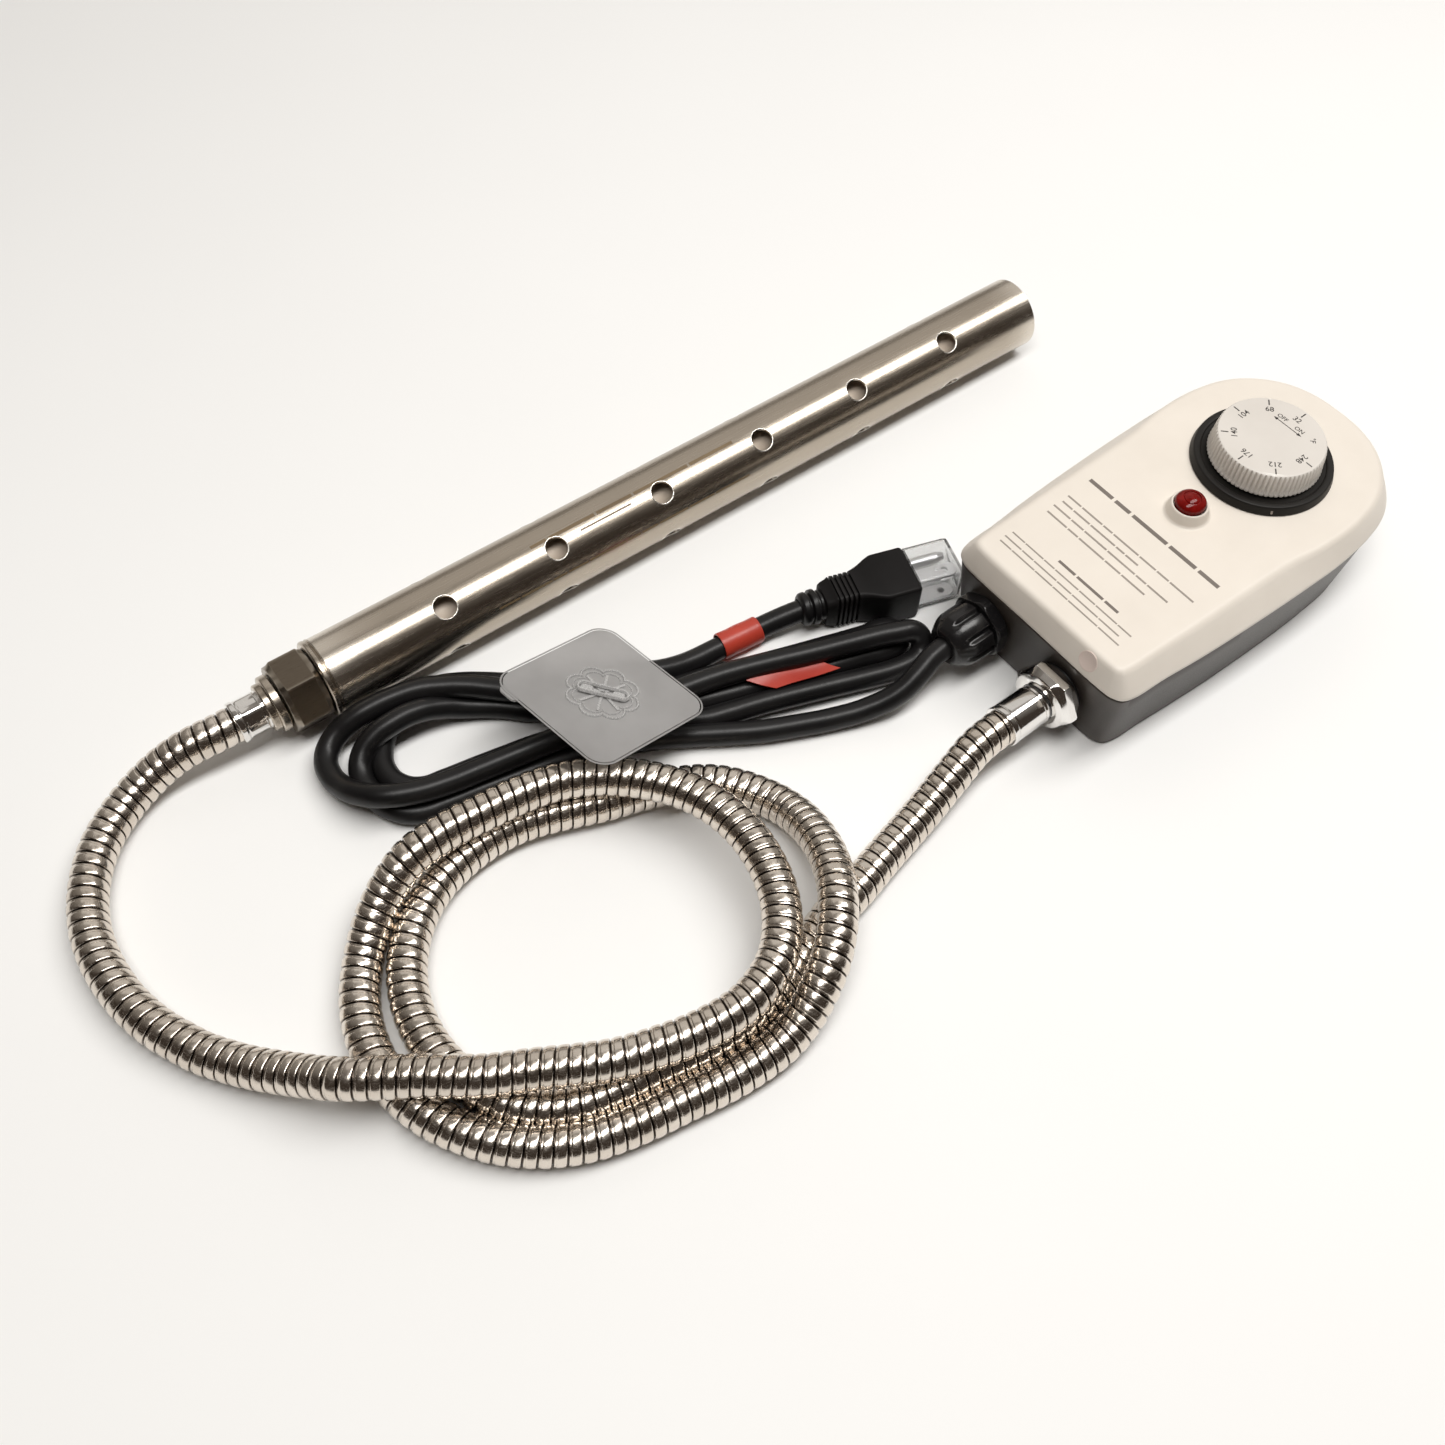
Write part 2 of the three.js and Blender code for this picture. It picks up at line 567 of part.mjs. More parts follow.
function makeController() {
  const controller = new THREE.Group();
  controller.position.set(DIAL.x, DIAL.y, 0);
  controller.rotation.z = radians(DIAL.turn);
  piece(controller, "base_housing", baseHousing(), "blackPlastic");
  piece(controller, "gasket", gasket(), "rubber");
  piece(controller, "cover", coverShell(), "cream");
  postPlaces().forEach(([x, y], i) => {
    piece(controller, `cover_screw_${i + 1}`, screw(2.8, 1.4, 0.4, 2.5, 44), "zinc").position.set(x, y, 0);
  });
  piece(controller, "bezel_ring", bezelRing(), "glossBlack");
  [-15, 15].forEach((y, i) => {
    const fastener = screw(2.8, 1.4, 0, 1.9, 13).rotateX(Math.PI).translate(0, y, 53.2);
    piece(controller, `thermostat_screw_${i + 1}`, fastener, "zinc");
  });
  piece(controller, "dial_knob", knob(), "cream");
  piece(controller, "dial_shaft", rod(SHAFT.radius, SHAFT.low, SHAFT.high, 16), "brass");
  piece(controller, "thermostat_body", thermostatBody(), "thermostat");
  piece(controller, "indicator_lens", indicatorLens(), "redLens");
  piece(controller, "lamp_body", lampBody(), "thermostat");
  piece(controller, "terminal_block", terminalBlock(), "thermostat");
  piece(controller, "line_wire", wire(-2.6, -13, 0), "rubber");
  piece(controller, "neutral_wire", wire(2.2, 0, 2.2), "cream");
  piece(controller, "ground_wire", wire(0.9, 13, -2.8), "thermostat");
  piece(controller, "capillary", capillary(), "copper");
  const fitting = (name, geometry, y, finish) => {
    piece(controller, name, geometry, finish).position.set(0, y, FITTING_HEIGHT);
  };
  fitting("gland_body", glandBody(), GLAND_Y, "glossBlack");
  fitting("gland_dome_nut", along(glandDomeNut(), "x"), GLAND_Y, "glossBlack");
  fitting("gland_seal", along(glandSeal(), "x"), GLAND_Y, "rubber");
  fitting("gland_lock_nut", along(lockNut(), "x"), GLAND_Y, "glossBlack");
  fitting("connector_washer", along(pipe(8.3, 11.8, FRONT - 1.2, FRONT), "x"), CONNECTOR_Y, "rubber");
  fitting("union_nut", along(hexNut(22, 8.2, FRONT - 10.4, FRONT - 1.5), "x"), CONNECTOR_Y, "chrome");
  fitting("connector_body", along(connectorBody(), "x"), CONNECTOR_Y, "zinc");
  fitting("connector_lock_nut", along(lockNut(), "x"), CONNECTOR_Y, "zinc");
  fitting("controller_ferrule", ferrule(FRONT - 31, 19.3, 8.6), CONNECTOR_Y, "chrome");
  return controller;
}

// ---------------------------------------------------------------- conduit and mains lead
function flatCoil(outer, inner, height) {
  const shape = new THREE.Shape(smoothLoop(outer, 2).reverse());
  if (inner) shape.holes.push(new THREE.Path(smoothLoop(inner, 2)));
  return new THREE.ExtrudeGeometry(shape, { depth: height, bevelEnabled: false });
}

function makeLeads() {
  const leads = new THREE.Group();
  piece(leads, "conduit_lead", tube(CONDUIT_LEAD, CONDUIT_RADIUS, 14, 12), "conduit");
  piece(leads, "conduit_coil", flatCoil(COIL_OUTER, COIL_INNER, COIL_HEIGHT), "conduit");
  piece(leads, "conduit_tail", tube(CONDUIT_TAIL, CONDUIT_RADIUS, 6, 12), "conduit");
  piece(leads, "cord_from_gland", tube(CORD_FROM_GLAND, CORD_RADIUS, 6), "rubber");
  piece(leads, "cord_hank", flatCoil(HANK_OUTLINE, null, HANK_HEIGHT), "rubber");
  piece(leads, "cord_to_plug", tube(CORD_TO_PLUG, CORD_RADIUS, 5), "rubber");
  return leads;
}

// ---------------------------------------------------------------- plug
function plugBody() {
  const { length, width, height } = PLUG;
  const half = width / 2;
  const outline = [
    [0, -half + 1], [0, half - 1], [-1, half], [-12, half], [-24, half - 4.2], [-length + 1, half - 4.8],
    [-length, half - 6], [-length, -half + 6], [-length + 1, -half + 4.8], [-24, -half + 4.2], [-12, -half],
    [-1, -half],
  ];
  const block = prism(outline.map(([x, y]) => new THREE.Vector2(x, y)), -height / 2, height / 2);
  const slots = [];
  for (const side of [-1, 1]) {
    for (const x of [-26, -29, -32]) slots.push(box(1.4, 3, height + 1, x, side * (half - 4), 0));
  }
  const sockets = [-1, 1].map((side) => (
    box(8, BLADE.width + 0.6, BLADE.thick + 0.6, 0, -4, (side * BLADE.apart) / 2)
  ));
  const pinSocket = along(rod(2.7, -4, 4, 14), "x").translate(0, 7.9, 0);
  return cut(block, ...slots, ...sockets, pinSocket);
}

function strainRelief() {
  const start = -PLUG.length - GAP;
  const end = start - 13.4;
  const profile = [[CORD_RADIUS + GAP, start], [7.6, start]];
  for (const step of [0, 1, 2]) {
    const x = start - 1.5 - step * 3.6;
    const radius = 7.4 - step * 0.6;
    profile.push([radius, x], [radius - 1.1, x - 0.4], [radius - 1.1, x - 1.4], [radius - 0.2, x - 1.8]);
  }
  profile.push([5.7, end], [CORD_RADIUS + GAP, end], [CORD_RADIUS + GAP, start]);
  return along(lathe(profile.reverse(), 14), "x");
}

function blade(side) {
  const shape = new THREE.Shape([
    new THREE.Vector2(-3.7, -BLADE.width / 2), new THREE.Vector2(BLADE.length - 2, -BLADE.width / 2),
    new THREE.Vector2(BLADE.length, -BLADE.width / 2 + 1.6),
    new THREE.Vector2(BLADE.length, BLADE.width / 2 - 1.6),
    new THREE.Vector2(BLADE.length - 2, BLADE.width / 2), new THREE.Vector2(-3.7, BLADE.width / 2),
  ]);
  const flat = new THREE.ExtrudeGeometry(shape, { depth: BLADE.thick, bevelEnabled: false });
  const hole = rod(1.5, -1, 3, 12).translate(BLADE.length - 5, 0, 0);
  return cut(flat, hole).translate(0, -4, (side * BLADE.apart) / 2 - BLADE.thick / 2);
}

function groundPin() {
  const profile = [[0, -3.7], [2.4, -3.7], [2.4, 15], [1.7, 17.6], [0, 18.6]];
  return along(lathe(profile, 14), "x").translate(0, 7.9, 0);
}

function bladeGuard() {
  const { length, width, height, wall, shift } = GUARD;
  const middle = GAP + length / 2;
  const outer = box(length, width, height, middle, shift, 0);
  const inner = box(length, width - 2 * wall, height - 2 * wall, middle - wall, shift, 0);
  return cut(outer, inner);
}

function makePlug() {
  const plug = new THREE.Group();
  plug.position.set(PLUG.x, PLUG.y, PLUG.z);
  plug.rotation.z = radians(PLUG.turn);
  piece(plug, "plug_body", plugBody(), "blackPlastic");
  piece(plug, "plug_strain_relief", strainRelief(), "rubber");
  piece(plug, "line_blade", blade(1), "zinc");
  piece(plug, "neutral_blade", blade(-1), "zinc");
  piece(plug, "ground_pin", groundPin(), "zinc");
  piece(plug, "blade_guard", bladeGuard(), "clear");
  return plug;
}

function settle(geometry, place) {
  return geometry.rotateZ(radians(place.turn)).translate(place.x, place.y, place.z);
}

function makeTag() {
  const tag = new THREE.Group();
  const half = TAG.length / 2;
  const sleeve = along(pipe(CORD_RADIUS + 0.4, CORD_RADIUS + 0.9, -half, half, 16), "x");
  const flag = box(FLAG.length, FLAG.width, 0.6);
  piece(tag, "tag_sleeve", settle(sleeve, TAG), "redTag");
  piece(tag, "tag_flag", settle(flag, FLAG), "redTag");
  return tag;
}

// ---------------------------------------------------------------- hook pad
function roundedSquare(side, corner) {
  const half = side / 2;
  const points = [];
  for (const [sx, sy, start] of [[1, 1, 0], [-1, 1, 90], [-1, -1, 180], [1, -1, 270]]) {
    for (const step of [0, 30, 60, 90]) {
      const angle = radians(start + step);
      points.push(new THREE.Vector2(
        sx * (half - corner) + corner * Math.cos(angle),
        sy * (half - corner) + corner * Math.sin(angle),
      ));
    }
  }
  return points;
}

function rosette(radius, low, high) {
  const points = [];
  for (let i = 0; i < 48; i += 1) {
    const angle = (2 * Math.PI * i) / 48;
    points.push(...polygon(1, radius * (0.88 + 0.12 * Math.abs(Math.sin(angle * 4))), angle));
  }
  return prism(points, low, high);
}

function wallHook() {
  const side = new THREE.Shape([
    new THREE.Vector2(-11, 0), new THREE.Vector2(5, 0), new THREE.Vector2(9, 2.6), new THREE.Vector2(11, 6),
    new THREE.Vector2(9, 6.4), new THREE.Vector2(7, 4),
    new THREE.Vector2(3.6, 2.2), new THREE.Vector2(-11, 1.8),
  ]);
  const strap = new THREE.ExtrudeGeometry(side, { depth: 7, bevelEnabled: false }).rotateX(-Math.PI / 2);
  return strap.translate(0, -3.5, -PAD.thick - 2 * GAP - PAD.rosette).rotateZ(radians(-55));
}

function makePad() {
  const pad = new THREE.Group();
  const tilt = radians(PAD.tilt);
  const downhill = radians(PAD.downhill);
  const yaw = radians(PAD.yaw);
  const up = new THREE.Vector3(
    Math.sin(tilt) * Math.cos(downhill), Math.sin(tilt) * Math.sin(downhill), Math.cos(tilt),
  );
  const across = new THREE.Vector3(Math.cos(yaw), Math.sin(yaw), 0);
  across.addScaledVector(up, -across.dot(up)).normalize();
  const along2 = new THREE.Vector3().crossVectors(up, across);
  pad.quaternion.setFromRotationMatrix(new THREE.Matrix4().makeBasis(across, along2, up));
  pad.position.set(PAD.x, PAD.y, PAD.z);
  piece(pad, "pad_plate", prism(roundedSquare(PAD.side, PAD.corner), -PAD.thick, 0), "clear");
  piece(pad, "pad_rosette", rosette(16.5, -PAD.thick - GAP - PAD.rosette, -PAD.thick - GAP), "clear");
  piece(pad, "pad_hook", wallHook(), "clear");
  return pad;
}

const heaterSet = new THREE.Group();
heaterSet.add(makeHeater(), makeController(), makeLeads(), makePlug(), makeTag(), makePad());

export default heaterSet;
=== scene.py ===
import math

import bmesh
import bpy
from mathutils import Matrix, Vector


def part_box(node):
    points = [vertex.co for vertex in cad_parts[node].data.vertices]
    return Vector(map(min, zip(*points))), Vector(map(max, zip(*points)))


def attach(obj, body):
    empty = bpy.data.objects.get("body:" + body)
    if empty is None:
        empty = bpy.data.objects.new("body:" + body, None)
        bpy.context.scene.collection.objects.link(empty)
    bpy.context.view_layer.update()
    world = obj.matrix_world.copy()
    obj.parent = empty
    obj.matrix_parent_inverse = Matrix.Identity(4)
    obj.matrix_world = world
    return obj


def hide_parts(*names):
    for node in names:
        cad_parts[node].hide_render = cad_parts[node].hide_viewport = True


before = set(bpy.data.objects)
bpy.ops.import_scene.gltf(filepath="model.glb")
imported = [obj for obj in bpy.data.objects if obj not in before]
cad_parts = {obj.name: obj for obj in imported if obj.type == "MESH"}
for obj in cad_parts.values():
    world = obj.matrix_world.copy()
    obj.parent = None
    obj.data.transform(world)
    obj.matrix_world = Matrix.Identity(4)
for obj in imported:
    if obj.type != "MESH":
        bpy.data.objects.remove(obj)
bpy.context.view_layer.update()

MM = 0.001
TAU = 2 * math.pi


# ---------------------------------------------------------------- places, in millimetres
def middle(node):
    low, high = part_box(node)
    return [(a + b) / 2 / MM for a, b in zip(low, high)]


def turned_frame(x, y, z, degrees):
    return Matrix.Translation((x, y, z)) @ Matrix.Rotation(math.radians(degrees), 4, "Z")


ALONG_X = Matrix.Rotation(math.pi / 2, 4, "Y")
HEATER_AXIS = middle("guard_tube")
HEATER = Matrix.Translation((0, HEATER_AXIS[1], HEATER_AXIS[2]))
DIAL_AXIS = middle("dial_knob")
CONTROLLER = turned_frame(DIAL_AXIS[0], DIAL_AXIS[1], 0, 1.76)
INLET_WALL, INLET_HEIGHT = -126.1, 18
GLAND = CONTROLLER @ Matrix.Translation((INLET_WALL, 23.5, INLET_HEIGHT))
CONNECTOR = CONTROLLER @ Matrix.Translation((INLET_WALL, -18, INLET_HEIGHT))
PLUG = turned_frame(36.5, 0, 9.7, -17)
SLEEVE = turned_frame(-38, 19.7, 6, -5.5)


def pad_frame(x, y, z, tilt, downhill, yaw):
    tilt, downhill, yaw = (math.radians(v) for v in (tilt, downhill, yaw))
    up = Vector((
        math.sin(tilt) * math.cos(downhill), math.sin(tilt) * math.sin(downhill), math.cos(tilt),
    ))
    across = Vector((math.cos(yaw), math.sin(yaw), 0))
    across = (across - up * across.dot(up)).normalized()
    turn = Matrix((across, up.cross(across), up)).transposed().to_4x4()
    return Matrix.Translation((x, y, z)) @ turn


PAD = pad_frame(-107.6, 14.4, 31, 18, 17, 9.8)


# ---------------------------------------------------------------- camera
CAMERA_LENS, CAMERA_SENSOR = 39.363, 36
CAMERA_PLACE = (-0.283, -0.27804, 0.525886)
CAMERA_FORWARD = (0.3449, 0.4304, -0.8341)
CAMERA_ROLL = 2.783


def add_object(name, data):
    made = bpy.data.objects.new(name, data)
    bpy.context.collection.objects.link(made)
    return made


def place_camera():
    data = bpy.data.cameras.new("camera")
    data.lens = CAMERA_LENS
    data.sensor_width = CAMERA_SENSOR
    data.clip_start = 0.01
    camera = add_object("camera", data)
    forward = Vector(CAMERA_FORWARD).normalized()
    level = forward.cross(Vector((0, 0, 1))).normalized()
    upright = level.cross(forward)
    roll = math.radians(CAMERA_ROLL)
    right = level * math.cos(roll) + upright * math.sin(roll)
    up = upright * math.cos(roll) - level * math.sin(roll)
    turn = Matrix((right, up, -forward)).transposed().to_4x4()
    camera.matrix_world = Matrix.Translation(CAMERA_PLACE) @ turn
    bpy.context.scene.camera = camera


# ---------------------------------------------------------------- mesh helpers
def mesh_object(name, points, faces, place=Matrix(), sharp=32):
    mesh = bpy.data.meshes.new(name)
    mesh.from_pydata([(place @ Vector(p)) * MM for p in points], [], faces)
    work = bmesh.new()
    work.from_mesh(mesh)
    bmesh.ops.remove_doubles(work, verts=work.verts, dist=1e-7)
    edges = [edge for edge in work.edges if edge.is_boundary]
    if edges:
        bmesh.ops.holes_fill(work, edges=edges)
    bmesh.ops.recalc_face_normals(work, faces=work.faces)
    work.to_mesh(mesh)
    work.free()
    mesh.shade_smooth()
    mesh.set_sharp_from_angle(angle=math.radians(sharp))
    return add_object(name, mesh)


def rings_to_faces(rings, close=False):
    faces = []
    pairs = list(zip(rings, rings[1:]))
    if close:
        pairs.append((rings[-1], rings[0]))
    for low, high in pairs:
        count = len(low)
        for i in range(count):
            j = (i + 1) % count
            face = list(dict.fromkeys((low[i], low[j], high[j], high[i])))
            if len(face) > 2:
                faces.append(face)
    return faces


def skinned(name, loops, place, sharp=32, close=False):
    """A body through matching loops of points, capped at both ends unless it runs round on itself."""
    points, rings = [], []
    for loop in loops:
        rings.append(range(len(points), len(points) + len(loop)))
        points += loop
    faces = rings_to_faces(rings, close)
    if not close:
        faces += [list(rings[0])[::-1], list(rings[-1])]
    return mesh_object(name, points, faces, place, sharp)


def curve_at(start, corner, end, t):
    """The value at t of a curve that leaves start and reaches end, drawn towards the corner."""
    return start * (1 - t) ** 2 + 2 * corner * t * (1 - t) + end * t * t


def softened(profile, radius=0.3, steps=3):
    """Rounds every inner corner of an open [r, z] profile."""
    points = [profile[0]]
    for before, corner, after in zip(profile, profile[1:], profile[2:]):
        back, ahead = math.dist(before, corner), math.dist(corner, after)
        cut = min(radius, back * 0.45, ahead * 0.45)
        start = [c + (b - c) * cut / back for b, c in zip(before, corner)]
        end = [c + (a - c) * cut / ahead for a, c in zip(after, corner)]
        for i in range(steps + 1):
            t = i / steps
            points.append([curve_at(s, c, e, t) for s, c, e in zip(start, corner, end)])
    points.append(profile[-1])
    return points


def turned(name, profile, place, sides=96, shape=None, sharp=32):
    """A body turned about Z from [radius, height] points; shape(r, z, angle) alters the radius."""
    points, rings = [], []
    for r, z in profile:
        if r == 0:
            rings.append([len(points)] * sides)
            points.append((0, 0, z))
            continue
        ring = []
        for i in range(sides):
            angle = TAU * i / sides
            reach = shape(r, z, angle) if shape else r
            ring.append(len(points))
            points.append((reach * math.cos(angle), reach * math.sin(angle), z))
        rings.append(ring)
    return mesh_object(name, points, rings_to_faces(rings), place, sharp)


def hexagon(flats, turn=0):
    def shape(r, z, angle):
        side = (angle + turn + math.pi / 6) % (math.pi / 3) - math.pi / 6
        return min(r, flats / 2 / math.cos(side))
    return shape


def spline(points, steps):
    """Centripetal Catmull-Rom samples through the points, ends included."""
    route = [Vector(p) for p in points]
    route = [route[0] * 2 - route[1]] + route + [route[-1] * 2 - route[-2]]
    samples = []
    for a, b, c, d in zip(route, route[1:], route[2:], route[3:]):
        first, span, last = (math.sqrt((q - p).length) for p, q in ((a, b), (b, c), (c, d)))
        leave = ((b - a) / first - (c - a) / (first + span) + (c - b) / span) * span
        arrive = ((c - b) / span - (d - b) / (span + last) + (d - c) / last) * span
        for i in range(steps):
            t = i / steps
            samples.append(
                b * (2 * t ** 3 - 3 * t * t + 1) + leave * (t ** 3 - 2 * t * t + t)
                + c * (3 * t * t - 2 * t ** 3) + arrive * (t ** 3 - t * t)
            )
    samples.append(route[-2])
    return samples


def evenly(samples, step):
    """The same line with its points one step apart."""
    line = [samples[0]]
    left = step
    for a, b in zip(samples, samples[1:]):
        span = (b - a).length
        at = 0
        while span - at >= left:
            at += left
            line.append(a.lerp(b, at / span))
            left = step
        left -= span - at
    return line


def outline(half, steps):
    """A closed symmetric outline from half of its points."""
    loop = [tuple(p) for p in half] + [(x, -y) for x, y in half[-2:0:-1]]
    wrapped = [(*p, 0) for p in loop[-2:] + loop + loop[:3]]
    dense = spline(wrapped, steps)
    return [(p.x, p.y) for p in dense[2 * steps:(2 + len(loop)) * steps]]


def inset(loop, amount):
    moved = []
    count = len(loop)
    for i, (x, y) in enumerate(loop):
        ax, ay = loop[i - 1]
        bx, by = loop[(i + 1) % count]
        dx, dy = bx - ax, by - ay
        size = math.hypot(dx, dy)
        moved.append((x + dy / size * amount, y - dx / size * amount))
    return moved


def blend_loops(first, second, t):
    return [(a + (c - a) * t, b + (d - b) * t) for (a, b), (c, d) in zip(first, second)]


def lofted(name, levels, place, sharp=32):
    """A closed body through matching loops at their heights, capped at both ends."""
    return skinned(name, [[(x, y, z) for x, y in loop] for loop, z in levels], place, sharp)


def frames_along(line):
    """A side and a top direction at each point, carried along without twist."""
    side = (line[1] - line[0]).cross(Vector((0, 0, 1))).normalized()
    result = []
    for i in range(len(line)):
        ahead = (line[min(i + 1, len(line) - 1)] - line[max(i - 1, 0)]).normalized()
        side = (side - ahead * side.dot(ahead)).normalized()
        result.append((side, side.cross(ahead)))
    return result


def swept(name, line, section, place, closed=False, sharp=40):
    """A body with an [across, up] section that follows the line."""
    line = [Vector(p) for p in line]
    count = len(line)
    loops = []
    for i, point in enumerate(line):
        back = line[i - 1] if closed or i else line[0]
        ahead = line[(i + 1) % count] if closed or i < count - 1 else line[-1]
        side = (ahead - back).cross(Vector((0, 0, 1))).normalized()
        up = side.cross((ahead - back).normalized())
        loops.append([point + side * u + up * v for u, v in section])
    return skinned(name, loops, place, sharp, closed)


def slab(name, loop, low, high, place, edge=0.3, steps=3):
    """A flat plate with rounded edges."""
    turns = [math.pi / 2 * i / steps for i in range(steps + 1)]
    levels = [(inset(loop, edge * (1 - math.sin(t))), low + edge * (1 - math.cos(t))) for t in turns]
    levels += [(inset(loop, edge * (1 - math.cos(t))), high - edge * (1 - math.sin(t))) for t in turns]
    return lofted(name, levels, place)


def rounded_box(x, y, corner, steps=6):
    loop = []
    for quarter, (sx, sy) in enumerate([(1, 1), (-1, 1), (-1, -1), (1, -1)]):
        for i in range(steps + 1):
            angle = math.pi / 2 * (quarter + i / steps)
            loop.append((
                sx * (x / 2 - corner) + corner * math.cos(angle),
                sy * (y / 2 - corner) + corner * math.sin(angle),
            ))
    return loop


def finish(piece, body, slot, paint, *nodes):
    """Paints a piece and says its body and the nodes that it replaces; the slot argument is not used."""
    piece.data.materials.clear()
    piece.data.materials.append(PAINTS[paint])
    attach(piece, body)
    if nodes:
        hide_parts(*nodes)
    return piece


# ---------------------------------------------------------------- materials
PAINTS = {}


class Paint:
    """A Principled material with a few procedural nodes, kept in PAINTS under its name."""

    def __init__(self, name, roughness, metallic=0.0, **sockets):
        self.material = PAINTS[name] = bpy.data.materials.new(name)
        self.material.use_nodes = True
        self.tree = self.material.node_tree
        self.shader = self.tree.nodes["Principled BSDF"]
        self.shader.inputs["Roughness"].default_value = roughness
        self.shader.inputs["Metallic"].default_value = metallic
        for socket, value in sockets.items():
            self.shader.inputs[socket.replace("_", " ")].default_value = value
        self.where = self.node("ShaderNodeTexCoord").outputs["Object"]

    def node(self, kind, **values):
        made = self.tree.nodes.new(kind)
        for key, value in values.items():
            setattr(made, key, value)
        return made

    def join(self, output, target):
        self.tree.links.new(output, target)

    def noise(self, scale, stretch=(1, 1, 1), detail=3, roughness=0.55):
        mapping = self.node("ShaderNodeMapping")
        mapping.inputs["Scale"].default_value = stretch
        self.join(self.where, mapping.inputs["Vector"])
        noise = self.node("ShaderNodeTexNoise")
        noise.inputs["Scale"].default_value = scale
        noise.inputs["Detail"].default_value = detail
        noise.inputs["Roughness"].default_value = roughness
        self.join(mapping.outputs["Vector"], noise.inputs["Vector"])
        return noise.outputs["Fac"]

    def ramp(self, source, *stops):
        ramp = self.node("ShaderNodeValToRGB").color_ramp
        node = self.tree.nodes[-1]
        while len(ramp.elements) < len(stops):
            ramp.elements.new(0.5)
        for element, (at, color) in zip(ramp.elements, stops):
            element.position = at
            element.color = (*color, 1)
        self.join(source, node.inputs["Fac"])
        return node.outputs["Color"]

    def mixed(self, factor, first, second):
        node = self.node("ShaderNodeMix", data_type="RGBA")
        self.join(factor, node.inputs["Factor"])
        for socket, value in (("A", first), ("B", second)):
            target = [i for i in node.inputs if i.name == socket and i.type == "RGBA"][0]
            if isinstance(value, tuple):
                target.default_value = (*value, 1)
            else:
                self.join(value, target)
        return [o for o in node.outputs if o.type == "RGBA"][0]

    def remap(self, source, low, high, start=0.3, end=0.7):
        node = self.node("ShaderNodeMapRange")
        for socket, value in zip(("From Min", "From Max", "To Min", "To Max"), (start, end, low, high)):
            node.inputs[socket].default_value = value
        self.join(source, node.inputs["Value"])
        return node.outputs["Result"]

    def color(self, output):
        self.join(output, self.shader.inputs["Base Color"])

    def rough(self, source, low, high):
        self.join(self.remap(source, low, high), self.shader.inputs["Roughness"])

    def bump(self, source, height, strength=1.0):
        node = self.node("ShaderNodeBump")
        node.inputs["Strength"].default_value = strength
        node.inputs["Distance"].default_value = height * MM
        self.join(source, node.inputs["Height"])
        if self.shader.inputs["Normal"].is_linked:
            self.join(self.shader.inputs["Normal"].links[0].from_socket, node.inputs["Normal"])
        self.join(node.outputs["Normal"], self.shader.inputs["Normal"])

    def edges(self, amount=6.0):
        """Worn edges as a factor from the mesh's pointiness."""
        sharp = self.node("ShaderNodeNewGeometry").outputs["Pointiness"]
        return self.remap(sharp, 0, 1, 0.5, 0.5 + 0.5 / amount)


def brushed(name, dark, light, roughness, stretch, wear):
    paint = Paint(name, roughness, 1.0)
    lines = paint.noise(240, stretch, detail=5)
    cloud = paint.noise(30, detail=2)
    base = paint.ramp(lines, (0.2, dark), (0.8, light))
    tint = paint.ramp(cloud, (0.35, tuple(c * 0.88 for c in light)), (0.65, light))
    stained = paint.mixed(paint.remap(cloud, 0.15, 0.45), base, tint)
    paint.color(paint.mixed(paint.edges(), stained, wear))
    paint.rough(lines, roughness - 0.03, roughness + 0.04)
    paint.bump(lines, 0.003, 0.12)


def moulded(name, dark, light, roughness, grain, height, wear=None, **sockets):
    paint = Paint(name, roughness, **sockets)
    cloud = paint.noise(40, detail=3)
    fine = paint.noise(grain, detail=3, roughness=0.6)
    base = paint.ramp(cloud, (0.3, dark), (0.7, light))
    if wear:
        base = paint.mixed(paint.edges(4), base, wear)
    paint.color(base)
    paint.rough(fine, roughness - 0.05, roughness + 0.06)
    paint.bump(fine, height, 0.4)


def conduit_steel():
    """Polished strip with painted shade in the sunken seam between its turns, from the mesh's own mark."""
    paint = Paint("conduit_steel", 0.2, 1.0)
    seam = paint.node("ShaderNodeAttribute", attribute_name="seam").outputs["Fac"]
    cloud = paint.noise(55, detail=4)
    scratch = paint.noise(500, (1, 1, 6), detail=2)
    bright = paint.ramp(cloud, (0.3, (0.66, 0.59, 0.515)), (0.7, (0.8, 0.735, 0.66)))
    # painted shade: the sunken seam is coloured near-black where the groove lies in shade
    paint.color(paint.mixed(seam, bright, (0.07, 0.055, 0.045)))
    paint.rough(scratch, 0.14, 0.3)
    paint.bump(scratch, 0.01, 0.25)


def red_lens():
    paint = Paint(
        "red_lens", 0.09, Transmission_Weight=0.1, IOR=1.45, Specular_IOR_Level=0.22,
    )
    cloud = paint.noise(300)
    paint.color(paint.ramp(cloud, (0.3, (0.12, 0.0035, 0.0025)), (0.7, (0.24, 0.008, 0.006))))
    paint.bump(cloud, 0.01, 0.2)


def frosted():
    paint = Paint("frosted_plastic", 0.42, Transmission_Weight=0.45, IOR=1.46, Specular_IOR_Level=0.35)
    cloud = paint.noise(25, detail=4)
    fine = paint.noise(1600)
    paint.color(paint.ramp(cloud, (0.3, (0.42, 0.41, 0.405)), (0.7, (0.55, 0.54, 0.535))))
    paint.rough(fine, 0.36, 0.52)
    paint.bump(fine, 0.05, 0.5)


def clear_shell():
    paint = Paint("clear_plastic", 0.08, Transmission_Weight=0.93, IOR=1.42)
    cloud = paint.noise(90, (0.5, 2, 2), detail=3)
    paint.color(paint.ramp(cloud, (0.3, (0.86, 0.865, 0.865)), (0.7, (0.96, 0.965, 0.97))))
    paint.rough(cloud, 0.04, 0.14)
    paint.bump(cloud, 0.15, 0.3)


